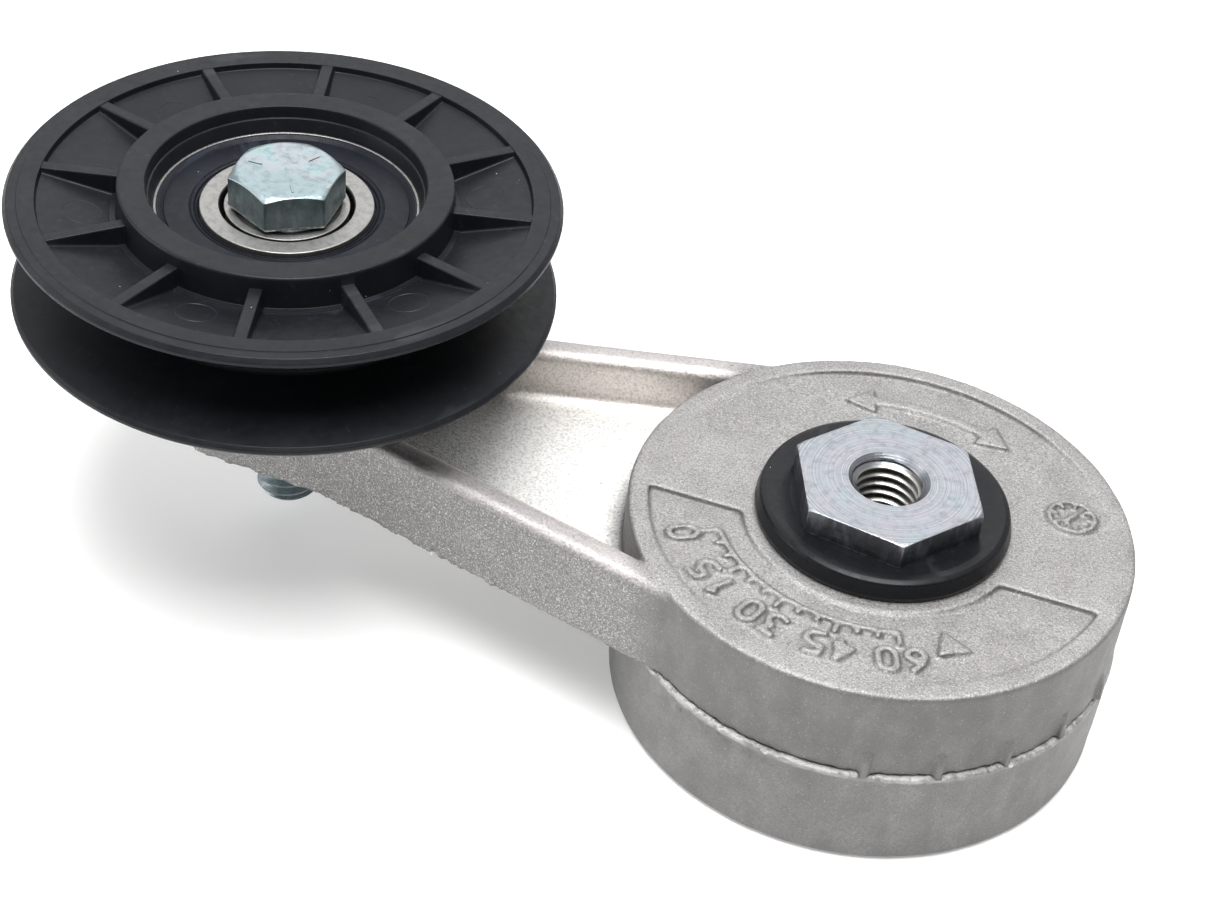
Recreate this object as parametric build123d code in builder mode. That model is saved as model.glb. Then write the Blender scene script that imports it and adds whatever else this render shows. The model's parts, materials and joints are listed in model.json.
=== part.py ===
from build123d import *
import os
from math import cos, radians, sin

# Belt tensioner idler: a sprung arm on a round base, with a V-groove pulley at its far end.
# The origin is the centre of the base's mounting face, on the hub's axis. +Z points up through
# the hexagon of the hub, and the arm reaches from the hub towards -X at rest. Millimetres.

os.makedirs("parts", exist_ok=True)

# Driving dimensions of the tensioner body
ARM_LENGTH = 88.9
BODY_RADIUS = 34.95
BODY_TOP = 30.7
SPLIT_HEIGHT = 16.4
SPLIT_GAP = 0.35
ROOF = 4.0
FLOOR = 4.8
SKIRT_INNER_RADIUS = 32.4
LEDGE_RADIUS = 35.35
FOOT_RADIUS = 35.0

# Beam of the arm, an open channel with two side ribs
BEAM_TOP = 30.5
BEAM_ROOT_X = -10.0
BEAM_ROOT_HALF_WIDTH = 30.6
BEAM_KNEE_X = -78.0
BEAM_KNEE_HALF_WIDTH = 13.2
BEAM_END_X = -104.0
BEAM_END_HALF_WIDTH = 11.7
BEAM_END_ROUNDING = 9.0
JUNCTION_FROM_X, JUNCTION_TO_X = -40.0, -15.0
RIB_WIDTH = 4.8
RIB_ROUNDING = 1.7
CHANNEL_CORNER_ROUNDING = 4.0
WEB_ROUNDING = 1.5
WEB_TOP = 22.8
WEB_BOTTOM = 19.0
CHANNEL_END_X = -75.0
JUNCTION_ROUNDING = 8.0

# Hub, thread and pivot
HUB_HEX_FLATS = 23.8
HUB_HEX_CLOCKING = 51.7
HUB_TOP = 37.3
HUB_HEX_HEIGHT = 4.0
HUB_FACE_RADIUS = 13.2
HUB_CHAMFER_RADIUS = 16.0
HUB_CHAMFER_DROP = 1.3
HUB_SHAFT_RADIUS = 11.0
HUB_FOOT_RADIUS = 10.0
THREAD_BORE_RADIUS = 4.25
THREAD_MOUTH_RADIUS = 5.6
PIVOT_CLEARANCE = 0.05
BUSHING_RADIUS = 13.0
BUSHING_LENGTH = 9.0
BUSHING_END_GAP = 0.3
ARM_TUBE_RADIUS = 16.5
THRUST_WASHER_RADIUS = 17.65
BOSS_TOP = 6.0
LOWER_WASHER_THICKNESS = 1.2
RING_POCKET_RADIUS = 15.0
RING_POCKET_DEPTH = 2.8
CIRCLIP_RADIUS = 13.2
CIRCLIP_THICKNESS = 1.1
CIRCLIP_GROOVE_WIDTH = 1.2
CIRCLIP_GROOVE_DEPTH = 0.8
CIRCLIP_GAP = 5.0

# Torsion spring and friction ring
WIRE_DIAMETER = 5.0
COIL_RADIUS = 23.5
COIL_PITCH = 5.15
COIL_TURNS = 3.15
COIL_FLOOR_GAP = 0.3
SEAT_HALF_WIDTH = 2.0
SEAT_DEGREES = 12.0
SEAT_GAP_DEGREES = 1.0
SPIGOT_INNER_RADIUS = 28.4
SPIGOT_RADIUS = 31.0
SPIGOT_TOP = 20.8

# Swing limits
SWING_DEGREES = 75.0
STOP_DEGREES = 20.0
STOP_START = 90.0
STOP_SLACK_DEGREES = 0.5
ARM_STOP_DEGREES = 15.0
ARM_STOP_INNER_RADIUS = 28.6
ARM_STOP_BOTTOM = 22.0

# Marks of the casting: sloping panels in the roof and index tabs on the skirt
PANEL_RADIUS = 32.1
PANEL_INNER_RADIUS = 19.3
UPPER_PANEL_Y = 8.0
LOWER_PANEL_Y = -7.0
UPPER_PANEL_DEPTH = 0.9
LOWER_PANEL_DEPTH = 0.75
TAB_COUNT = 5
TAB_START = -76.5
TAB_PITCH = 16.0
TAB_HEIGHT = 3.6
TAB_WIDTH = 1.3
TAB_THICKNESS = 1.1

# Pulley, mirrored about its mid plane
PULLEY_MID = 49.5
PULLEY_RADIUS = 38.1
FLANGE_HALF = 8.1
HUB_RING_HALF = 9.7
HUB_RING_RADIUS = 22.95
HUB_MOUTH_RADIUS = 19.16
POCKET_RADIUS = 33.77
GROOVE_ROOT_RADIUS = 26.5
GROOVE_ROOT_HALF = 3.05
PULLEY_RIBS = 12
PULLEY_RIB_WIDTH = 1.8
PULLEY_RIB_TOP = 7.95
PULLEY_RIB_FOOT = 4.2

# Deep groove ball bearing, 17 x 40 x 12 mm, with two rubber seals
BEARING_BORE_RADIUS = 8.5
BEARING_RADIUS = 20.0
BEARING_HALF = 6.0
BALL_COUNT = 8
BALL_RADIUS = 3.37
PITCH_RADIUS = 14.25
RACE_RADIUS = 3.5
INNER_SHOULDER = 12.0
OUTER_SHOULDER = 16.5
SEAL_SEAT_RADIUS = 17.4
LIP_RADIUS = 18.1
CAGE_SHEET = 0.7
CAGE_HALF_WIDTH = 1.2
RIVET_RADIUS = 0.5
RIVET_HEAD_RADIUS = 0.85
RIVET_HEAD_HEIGHT = 0.4

# Idler bolt, 3/8 inch thread, 2 inches long
BOLT_FLATS = 14.1
BOLT_CLOCKING = 33.1
BOLT_RADIUS = 4.72
BOLT_LENGTH = 50.8
BOLT_POINT = 0.9
BOLT_FACE_RADIUS = 6.6
BOLT_CHAMFER_RADIUS = 9.0
BOLT_CHAMFER_DROP = 1.2
BOLT_SEAT = 55.05
BOLT_HEAD_BOTTOM = 55.6
BOLT_HEAD_TOP = 61.0
BOLT_HOLE_RADIUS = 4.85
IDLER_BOSS_RADIUS = 10.5
IDLER_BOSS_TOP = 42.7
IDLER_BUSHING_TOP = 55.3

SKIRT_BOTTOM = SPLIT_HEIGHT + SPLIT_GAP
ROOF_UNDERSIDE = BODY_TOP - ROOF
HUB_HEX_BOTTOM = HUB_TOP - HUB_HEX_HEIGHT
TUBE_BOTTOM = BOSS_TOP + LOWER_WASHER_THICKNESS + PIVOT_CLEARANCE
ROOTING = 0.5  # how far a stop or seat is sunk into the wall that carries it
CUT_THROUGH = 90.0  # longer than the whole object is high
PULLEY_AXIS = Axis((-ARM_LENGTH, 0, 0), (0, 0, 1))


def save(piece, label):
    """Label a finished piece and write it to its STEP file."""
    piece.part.label = label
    export_step(piece.part, f"parts/{label}.step")


def tube_points(inner, outer, low, high, edge):
    """Half-section of a ring whose four corners are chamfered by edge."""
    return [
        (inner, low + edge), (inner + edge, low), (outer - edge, low), (outer, low + edge),
        (outer, high - edge), (outer - edge, high), (inner + edge, high), (inner, high - edge),
    ]


def arc_block(inner, outer, low, high, start, sweep):
    """A solid ring sector from angle start, sweep degrees wide."""
    with BuildPart() as block:
        with BuildSketch(Plane.XZ.rotated((0, 0, start))):
            with Locations(((inner + outer) / 2, (low + high) / 2)):
                Rectangle(outer - inner, high - low)
        revolve(axis=Axis.Z, revolution_arc=sweep)
    return block.part


# Stops that limit the swing, and seats that the two ends of the spring push on
spring_end = -360 * (COIL_TURNS % 1)
base_stop = arc_block(SPIGOT_INNER_RADIUS, SPIGOT_RADIUS, SPIGOT_TOP - ROOTING,
                      ROOF_UNDERSIDE - 0.8, STOP_START, STOP_DEGREES)
base_spring_seat = arc_block(COIL_RADIUS - SEAT_HALF_WIDTH, COIL_RADIUS + SEAT_HALF_WIDTH,
                             FLOOR - ROOTING, FLOOR + WIRE_DIAMETER, SEAT_GAP_DEGREES,
                             SEAT_DEGREES)
arm_stops = [
    arc_block(ARM_STOP_INNER_RADIUS, SKIRT_INNER_RADIUS + ROOTING, ARM_STOP_BOTTOM,
              ROOF_UNDERSIDE + ROOTING, start, ARM_STOP_DEGREES)
    for start in (STOP_START + STOP_DEGREES + STOP_SLACK_DEGREES,
                  STOP_START - SWING_DEGREES - ARM_STOP_DEGREES - STOP_SLACK_DEGREES)
]
arm_spring_seat = arc_block(COIL_RADIUS - SEAT_HALF_WIDTH, COIL_RADIUS + SEAT_HALF_WIDTH,
                            ROOF_UNDERSIDE - WIRE_DIAMETER, ROOF_UNDERSIDE + ROOTING,
                            spring_end - SEAT_GAP_DEGREES - SEAT_DEGREES, SEAT_DEGREES)

# Base: a round cup with a mounting face, a spigot inside the arm's skirt, and one stop
with BuildPart() as base:
    with BuildSketch(Plane.XZ):
        with BuildLine():
            Polyline(
                (HUB_FOOT_RADIUS, RING_POCKET_DEPTH),
                (RING_POCKET_RADIUS, RING_POCKET_DEPTH),
                (RING_POCKET_RADIUS, 0),
                (FOOT_RADIUS - 0.7, 0),
                (FOOT_RADIUS, 0.7),
                (LEDGE_RADIUS - 0.1, SPLIT_HEIGHT - 1.6),
                (LEDGE_RADIUS, SPLIT_HEIGHT - 0.4),
                (LEDGE_RADIUS - 0.3, SPLIT_HEIGHT),
                (SPIGOT_RADIUS, SPLIT_HEIGHT),
                (SPIGOT_RADIUS, SPIGOT_TOP),
                (SPIGOT_INNER_RADIUS, SPIGOT_TOP),
                (SPIGOT_INNER_RADIUS, FLOOR + 2),
                (SPIGOT_INNER_RADIUS - 2, FLOOR),
                (ARM_TUBE_RADIUS + 1.5, FLOOR),
                (ARM_TUBE_RADIUS, BOSS_TOP),
                (HUB_FOOT_RADIUS, BOSS_TOP),
                close=True,
            )
        make_face()
    revolve(axis=Axis.Z)
    add(base_stop)
    add(base_spring_seat)
save(base, "base")

# Shallow sloping panels that the arm's roof is relieved by, one each side of the hub
with BuildPart() as upper_panel:
    with BuildSketch(Plane.YZ):
        with BuildLine():
            Polyline((UPPER_PANEL_Y, BODY_TOP), (PANEL_RADIUS + 1, BODY_TOP - UPPER_PANEL_DEPTH),
                     (PANEL_RADIUS + 1, BODY_TOP + 1), (UPPER_PANEL_Y, BODY_TOP + 1), close=True)
        make_face()
    extrude(amount=BODY_RADIUS, both=True)
    Cylinder(PANEL_RADIUS, CUT_THROUGH, mode=Mode.INTERSECT)

with BuildPart() as lower_panel:
    with BuildSketch(Plane.YZ):
        with BuildLine():
            Polyline((LOWER_PANEL_Y, BODY_TOP - LOWER_PANEL_DEPTH), (1 - PANEL_RADIUS, BODY_TOP),
                     (1 - PANEL_RADIUS, BODY_TOP + 1), (LOWER_PANEL_Y, BODY_TOP + 1), close=True)
        make_face()
    extrude(amount=BODY_RADIUS, both=True)
    Cylinder(PANEL_RADIUS, CUT_THROUGH, mode=Mode.INTERSECT)
    Cylinder(PANEL_INNER_RADIUS, CUT_THROUGH, mode=Mode.SUBTRACT)


def beam_points(inset):
    """Upper half of the beam's outline, moved inwards by inset, from the root to the end."""
    return [
        (BEAM_ROOT_X, BEAM_ROOT_HALF_WIDTH - inset),
        (BEAM_KNEE_X, BEAM_KNEE_HALF_WIDTH - inset),
    ]


def mirrored(points):
    """The points followed by their mirror images in the X axis, as one closed outline."""
    return points + [(x, -y) for x, y in reversed(points)]


# Arm: cup, channel beam, pulley boss, pivot tube, two stops and five index tabs in one casting
with BuildPart() as arm:
    with BuildSketch(Plane.XY.offset(SKIRT_BOTTOM)) as plan:
        with BuildLine():
            Polyline(*mirrored(beam_points(0) + [(BEAM_END_X, BEAM_END_HALF_WIDTH)]), close=True)
        make_face()
        fillet(plan.vertices().group_by(Axis.X)[0], radius=BEAM_END_ROUNDING)
        Circle(BODY_RADIUS)
        junctions = plan.vertices().filter_by(
            lambda v: JUNCTION_FROM_X < v.X < JUNCTION_TO_X)
        fillet(junctions, radius=JUNCTION_ROUNDING)
    extrude(amount=BEAM_TOP - SKIRT_BOTTOM)
    fillet(arm.edges().group_by(Axis.Z)[-1], radius=RIB_ROUNDING)
    for level, depth in ((WEB_TOP, BEAM_TOP - WEB_TOP), (WEB_BOTTOM, SKIRT_BOTTOM - WEB_BOTTOM)):
        with BuildSketch(Plane.XY.offset(level)) as channel:
            slope = (BEAM_ROOT_HALF_WIDTH - BEAM_KNEE_HALF_WIDTH) / (BEAM_ROOT_X - BEAM_KNEE_X)
            end_half = BEAM_KNEE_HALF_WIDTH - RIB_WIDTH + slope * (CHANNEL_END_X - BEAM_KNEE_X)
            with BuildLine():
                Polyline(*mirrored([beam_points(RIB_WIDTH)[0], (CHANNEL_END_X, end_half)]),
                         close=True)
            make_face()
            fillet(channel.vertices(), radius=CHANNEL_CORNER_ROUNDING)
        extrude(amount=depth, mode=Mode.SUBTRACT)
    rim = arm.edges().filter_by(lambda e: abs(e.center().Z - BEAM_TOP) < 0.01)
    fillet(rim, radius=RIB_ROUNDING)
    web = arm.edges().filter_by(lambda e: abs(e.center().Z - WEB_TOP) < 0.01)
    fillet(web, radius=WEB_ROUNDING)
    with BuildSketch(Plane.XZ):
        with BuildLine():
            Polyline((BUSHING_RADIUS, SKIRT_BOTTOM), (BODY_RADIUS, SKIRT_BOTTOM),
                     (BODY_RADIUS, BODY_TOP - 0.6), (BODY_RADIUS - 0.2, BODY_TOP - 0.15),
                     (BODY_RADIUS - 0.65, BODY_TOP), (BUSHING_RADIUS, BODY_TOP), close=True)
        make_face()
    revolve(axis=Axis.Z)
    with BuildSketch(Plane.XY.offset(SKIRT_BOTTOM)):
        Circle(SKIRT_INNER_RADIUS)
    extrude(amount=ROOF_UNDERSIDE - SKIRT_BOTTOM, mode=Mode.SUBTRACT)
    with BuildSketch(Plane.XY.offset(TUBE_BOTTOM)):
        Circle(ARM_TUBE_RADIUS)
    extrude(amount=ROOF_UNDERSIDE - TUBE_BOTTOM)
    with Locations((-ARM_LENGTH, 0, WEB_TOP)):
        Cone(IDLER_BOSS_RADIUS + 1, IDLER_BOSS_RADIUS, IDLER_BOSS_TOP - WEB_TOP,
             align=(Align.CENTER, Align.CENTER, Align.MIN))
        Cylinder(BOLT_HOLE_RADIUS, CUT_THROUGH, mode=Mode.SUBTRACT)
    Cylinder(BUSHING_RADIUS, CUT_THROUGH, mode=Mode.SUBTRACT)
    add(arm_stops)
    add(arm_spring_seat)
    with BuildSketch(Plane.XY.offset(SPLIT_HEIGHT + 0.15)):
        with PolarLocations(BODY_RADIUS - 0.2, TAB_COUNT, start_angle=TAB_START,
                            angular_range=TAB_COUNT * TAB_PITCH):
            Rectangle(TAB_THICKNESS, TAB_WIDTH)
    extrude(amount=TAB_HEIGHT)
    add(upper_panel.part, mode=Mode.SUBTRACT)
    add(lower_panel.part, mode=Mode.SUBTRACT)
save(arm, "arm")

# Hub: a hexagon on a threaded shaft that is seated in the base
groove_low = RING_POCKET_DEPTH - CIRCLIP_GROOVE_WIDTH
groove_radius = HUB_FOOT_RADIUS - CIRCLIP_GROOVE_DEPTH
with BuildPart() as hub_shaft:
    with BuildSketch(Plane.XY.offset(HUB_HEX_BOTTOM)):
        RegularPolygon(HUB_HEX_FLATS / 2, 6, major_radius=False, rotation=HUB_HEX_CLOCKING)
    extrude(amount=HUB_HEX_HEIGHT)
    with BuildSketch(Plane.XZ):
        with BuildLine():
            Polyline((0, HUB_HEX_BOTTOM), (HUB_CHAMFER_RADIUS, HUB_HEX_BOTTOM),
                     (HUB_CHAMFER_RADIUS, HUB_TOP - HUB_CHAMFER_DROP),
                     (HUB_FACE_RADIUS, HUB_TOP), (0, HUB_TOP), close=True)
        make_face()
    revolve(axis=Axis.Z, mode=Mode.INTERSECT)
    with BuildSketch(Plane.XZ):
        with BuildLine():
            Polyline((0, 0), (HUB_FOOT_RADIUS, 0), (HUB_FOOT_RADIUS, groove_low),
                     (groove_radius, groove_low),
                     (groove_radius, RING_POCKET_DEPTH),
                     (HUB_FOOT_RADIUS, RING_POCKET_DEPTH), (HUB_FOOT_RADIUS, BOSS_TOP),
                     (HUB_SHAFT_RADIUS, BOSS_TOP), (HUB_SHAFT_RADIUS, HUB_HEX_BOTTOM + 0.5),
                     (0, HUB_HEX_BOTTOM + 0.5), close=True)
        make_face()
    revolve(axis=Axis.Z)
    with BuildSketch(Plane.XZ):
        with BuildLine():
            Polyline((0, -1), (THREAD_BORE_RADIUS, -1),
                     (THREAD_BORE_RADIUS, HUB_TOP - THREAD_MOUTH_RADIUS + THREAD_BORE_RADIUS),
                     (THREAD_MOUTH_RADIUS, HUB_TOP), (THREAD_MOUTH_RADIUS, HUB_TOP + 1),
                     (0, HUB_TOP + 1), close=True)
        make_face()
    revolve(axis=Axis.Z, mode=Mode.SUBTRACT)
save(hub_shaft, "hub_shaft")

# Retaining ring: an open circlip in the hub's groove
with BuildPart() as hub_retaining_ring:
    with BuildSketch(Plane.XY.offset(groove_low + 0.05)):
        Circle(CIRCLIP_RADIUS)
        Circle(groove_radius + 0.05, mode=Mode.SUBTRACT)
        with Locations((0, -(CIRCLIP_RADIUS + groove_radius) / 2 - 0.2)):
            Rectangle(CIRCLIP_GAP, 6, mode=Mode.SUBTRACT)
    extrude(amount=CIRCLIP_THICKNESS)
save(hub_retaining_ring, "hub_retaining_ring")

# Dished plastic thrust washer between the hexagon and the arm
with BuildPart() as thrust_washer:
    with BuildSketch(Plane.XZ):
        rise = HUB_HEX_BOTTOM
        with BuildLine():
            Polyline((THRUST_WASHER_RADIUS - 0.3, BODY_TOP + PIVOT_CLEARANCE),
                     (HUB_SHAFT_RADIUS + 0.3, BODY_TOP + PIVOT_CLEARANCE),
                     (HUB_SHAFT_RADIUS + 0.3, rise), (14.3, rise), (15.4, rise + 0.45))
            Spline((15.4, rise + 0.45), (16.3, rise + 0.5), (17.2, rise - 0.4),
                   (THRUST_WASHER_RADIUS, BODY_TOP + 0.9), tangents=((1, 0.35), (0, -1)))
            Line((THRUST_WASHER_RADIUS, BODY_TOP + 0.9),
                 (THRUST_WASHER_RADIUS - 0.3, BODY_TOP + PIVOT_CLEARANCE))
        make_face()
    revolve(axis=Axis.Z)
save(thrust_washer, "thrust_washer")

# Plain rings that turn or rub: lower washer, two pivot bushings and the friction ring
rings = {
    "lower_thrust_washer": (HUB_SHAFT_RADIUS + 0.3, ARM_TUBE_RADIUS, BOSS_TOP,
                            BOSS_TOP + LOWER_WASHER_THICKNESS, 0.15),
    "lower_pivot_bushing": (HUB_SHAFT_RADIUS + PIVOT_CLEARANCE, BUSHING_RADIUS,
                            TUBE_BOTTOM + BUSHING_END_GAP,
                            TUBE_BOTTOM + BUSHING_END_GAP + BUSHING_LENGTH, 0.3),
    "upper_pivot_bushing": (HUB_SHAFT_RADIUS + PIVOT_CLEARANCE, BUSHING_RADIUS,
                            BODY_TOP - BUSHING_END_GAP - BUSHING_LENGTH,
                            BODY_TOP - BUSHING_END_GAP, 0.3),
    "friction_ring": (SPIGOT_RADIUS + PIVOT_CLEARANCE, SKIRT_INNER_RADIUS, SKIRT_BOTTOM + 0.2,
                      SPIGOT_TOP + 0.3, 0.2),
}
for label, (inner, outer, low, high, edge) in rings.items():
    with BuildPart() as ring:
        with BuildSketch(Plane.XZ):
            with BuildLine():
                Polyline(*tube_points(inner, outer, low, high, edge), close=True)
            make_face()
        revolve(axis=Axis.Z)
    save(ring, label)

# Torsion spring: a left-hand round-wire coil with plain cut ends
with BuildPart() as torsion_spring:
    with BuildLine():
        coil = Helix(pitch=COIL_PITCH, height=COIL_PITCH * COIL_TURNS, radius=COIL_RADIUS,
                     center=(0, 0, FLOOR + COIL_FLOOR_GAP + WIRE_DIAMETER / 2), lefthand=True)
    with BuildSketch(Plane(origin=coil @ 0, z_dir=coil % 0)):
        Circle(WIRE_DIAMETER / 2)
    sweep(path=coil, is_frenet=True)
save(torsion_spring, "torsion_spring")

# Pulley: the upper half-section from the bearing seat outwards; the lower half mirrors it
upper_section = [
    (BEARING_RADIUS, BEARING_HALF),
    (LIP_RADIUS, BEARING_HALF),
    (HUB_MOUTH_RADIUS - 0.45, 7.9),
    (HUB_MOUTH_RADIUS - 0.2, 7.95),
    (HUB_MOUTH_RADIUS, HUB_RING_HALF - 0.25),
    (HUB_MOUTH_RADIUS + 0.25, HUB_RING_HALF),
    (HUB_RING_RADIUS - 0.4, HUB_RING_HALF),
    (HUB_RING_RADIUS, HUB_RING_HALF - 0.4),
    (HUB_RING_RADIUS + 0.35, 5.05),
    (HUB_RING_RADIUS + 1.1, 4.95),
    (POCKET_RADIUS, 7.25),
    (POCKET_RADIUS + 0.05, FLANGE_HALF),
    (36.3, FLANGE_HALF),
    (36.4, FLANGE_HALF - 0.12),
    (37.4, FLANGE_HALF - 0.12),
    (PULLEY_RADIUS, FLANGE_HALF - 0.8),
    (PULLEY_RADIUS, FLANGE_HALF - 1.2),
    (PULLEY_RADIUS - 0.45, FLANGE_HALF - 1.65),
    (GROOVE_ROOT_RADIUS + 0.3, GROOVE_ROOT_HALF + 0.1),
    (GROOVE_ROOT_RADIUS, GROOVE_ROOT_HALF - 0.2),
]
with BuildPart() as pulley:
    with BuildSketch(Plane.XZ):
        with BuildLine():
            Polyline(*[(r - ARM_LENGTH, PULLEY_MID + h) for r, h in upper_section],
                     *[(r - ARM_LENGTH, PULLEY_MID - h) for r, h in reversed(upper_section)],
                     close=True)
        make_face()
    revolve(axis=PULLEY_AXIS)
    for i in range(PULLEY_RIBS):
        angle = radians(15 + 360 * i / PULLEY_RIBS)
        radial = Plane(origin=(-ARM_LENGTH, 0, PULLEY_MID), x_dir=(cos(angle), sin(angle), 0),
                       z_dir=(sin(angle), -cos(angle), 0))
        with BuildSketch(radial):
            with BuildLine():
                Polyline((HUB_RING_RADIUS - 0.2, PULLEY_RIB_FOOT),
                         (HUB_RING_RADIUS - 0.2, PULLEY_RIB_TOP),
                         (POCKET_RADIUS + 0.4, PULLEY_RIB_TOP), (POCKET_RADIUS + 0.4, 6.4),
                         (HUB_RING_RADIUS + 3, PULLEY_RIB_FOOT), close=True)
            make_face()
            mirror(about=Plane.XZ)
        extrude(amount=PULLEY_RIB_WIDTH / 2, both=True)
save(pulley, "pulley")


def bearing_ring(label, points):
    """A ring of the bearing, from its half-section about the pulley's axis and mid plane."""
    with BuildPart() as ring:
        with BuildSketch(Plane.XZ):
            with BuildLine():
                Polyline(*[(r - ARM_LENGTH, PULLEY_MID + h) for r, h in points], close=True)
            make_face()
        revolve(axis=PULLEY_AXIS)
        with BuildSketch(Plane.XZ):
            with Locations((PITCH_RADIUS - ARM_LENGTH, PULLEY_MID)):
                Circle(RACE_RADIUS)
        revolve(axis=PULLEY_AXIS, mode=Mode.SUBTRACT)
    save(ring, label)


bearing_ring("bearing_inner_ring", [
    (BEARING_BORE_RADIUS, -5.2), (BEARING_BORE_RADIUS + 0.8, -BEARING_HALF),
    (INNER_SHOULDER - 0.3, -BEARING_HALF), (INNER_SHOULDER, -5.7), (INNER_SHOULDER, 5.7),
    (INNER_SHOULDER - 0.3, BEARING_HALF), (BEARING_BORE_RADIUS + 0.8, BEARING_HALF),
    (BEARING_BORE_RADIUS, 5.2),
])
bearing_ring("bearing_outer_ring", [
    (BEARING_RADIUS, -BEARING_HALF), (BEARING_RADIUS, BEARING_HALF),
    (SEAL_SEAT_RADIUS + 0.2, BEARING_HALF),
    (SEAL_SEAT_RADIUS, 5.8), (SEAL_SEAT_RADIUS, 4.7), (OUTER_SHOULDER, 4.6),
    (OUTER_SHOULDER, -4.6), (SEAL_SEAT_RADIUS, -4.7), (SEAL_SEAT_RADIUS, -5.8),
    (SEAL_SEAT_RADIUS + 0.2, -BEARING_HALF),
])

# Seals: rubber discs seated in the outer ring, with a lip close to the inner ring
for label, side in (("bearing_seal_upper", 1), ("bearing_seal_lower", -1)):
    with BuildPart() as seal:
        with BuildSketch(Plane.XZ):
            with BuildLine():
                outline = [(INNER_SHOULDER + 0.1, 4.9), (INNER_SHOULDER + 0.1, 5.35),
                           (INNER_SHOULDER + 0.9, 5.65), (SEAL_SEAT_RADIUS - 0.3, 5.65),
                           (SEAL_SEAT_RADIUS, 5.5), (SEAL_SEAT_RADIUS, 4.75),
                           (OUTER_SHOULDER, 4.65), (INNER_SHOULDER + 0.6, 4.65)]
                Polyline(*[(r - ARM_LENGTH, PULLEY_MID + side * h) for r, h in outline],
                         close=True)
            make_face()
        revolve(axis=PULLEY_AXIS)
    save(seal, label)


def ball_positions(offset_degrees):
    """Places on the pitch circle, one for each ball, turned by offset_degrees."""
    angles = [radians(offset_degrees + 360 * i / BALL_COUNT) for i in range(BALL_COUNT)]
    return [(PITCH_RADIUS * cos(a) - ARM_LENGTH, PITCH_RADIUS * sin(a), PULLEY_MID)
            for a in angles]


with BuildPart() as bearing_balls:
    with Locations(*ball_positions(0)):
        Sphere(BALL_RADIUS)
save(bearing_balls, "bearing_balls")

# Cage: two pressed ribbons that wrap the balls and are riveted between them
ball_pocket = BALL_RADIUS + 0.2
for label, side in (("bearing_cage_upper", 1), ("bearing_cage_lower", -1)):
    with BuildPart() as cage:
        with Locations(*ball_positions(0)):
            Sphere(ball_pocket + CAGE_SHEET)
        with Locations((-ARM_LENGTH, 0, PULLEY_MID + side * CAGE_SHEET / 2)):
            Cylinder(PITCH_RADIUS + CAGE_HALF_WIDTH, CAGE_SHEET)
        with BuildSketch(Plane.XY.offset(PULLEY_MID)):
            with Locations((-ARM_LENGTH, 0)):
                Circle(PITCH_RADIUS + CAGE_HALF_WIDTH)
                Circle(PITCH_RADIUS - CAGE_HALF_WIDTH, mode=Mode.SUBTRACT)
        extrude(amount=side * BEARING_HALF, mode=Mode.INTERSECT)
        with Locations(*ball_positions(0)):
            Sphere(ball_pocket, mode=Mode.SUBTRACT)
        with Locations(*ball_positions(180 / BALL_COUNT)):
            Cylinder(RIVET_RADIUS, 3, mode=Mode.SUBTRACT)
    save(cage, label)

with BuildPart() as bearing_cage_rivets:
    with Locations(*ball_positions(180 / BALL_COUNT)):
        Cylinder(RIVET_RADIUS, 2 * CAGE_SHEET)
    for side in (1, -1):
        with Locations(*[(x, y, z + side * (CAGE_SHEET + RIVET_HEAD_HEIGHT / 2))
                         for x, y, z in ball_positions(180 / BALL_COUNT)]):
            Cylinder(RIVET_HEAD_RADIUS, RIVET_HEAD_HEIGHT)
save(bearing_cage_rivets, "bearing_cage_rivets")

# Idler bushing: fills the bearing's bore and has a rounded, dished upper end
with BuildPart() as idler_bushing:
    with BuildSketch(Plane.XZ):
        with BuildLine():
            outline = [(BOLT_HOLE_RADIUS, IDLER_BOSS_TOP), (8.2, IDLER_BOSS_TOP),
                       (BEARING_BORE_RADIUS, IDLER_BOSS_TOP + 0.3),
                       (BEARING_BORE_RADIUS, IDLER_BUSHING_TOP - 0.35),
                       (8.35, IDLER_BUSHING_TOP - 0.1), (8.1, IDLER_BUSHING_TOP),
                       (7.85, IDLER_BUSHING_TOP), (7.6, IDLER_BUSHING_TOP - 0.1),
                       (7.0, BOLT_SEAT), (BOLT_HOLE_RADIUS, BOLT_SEAT)]
            Polyline(*[(r - ARM_LENGTH, z) for r, z in outline], close=True)
        make_face()
    revolve(axis=PULLEY_AXIS)
save(idler_bushing, "idler_bushing")

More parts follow.
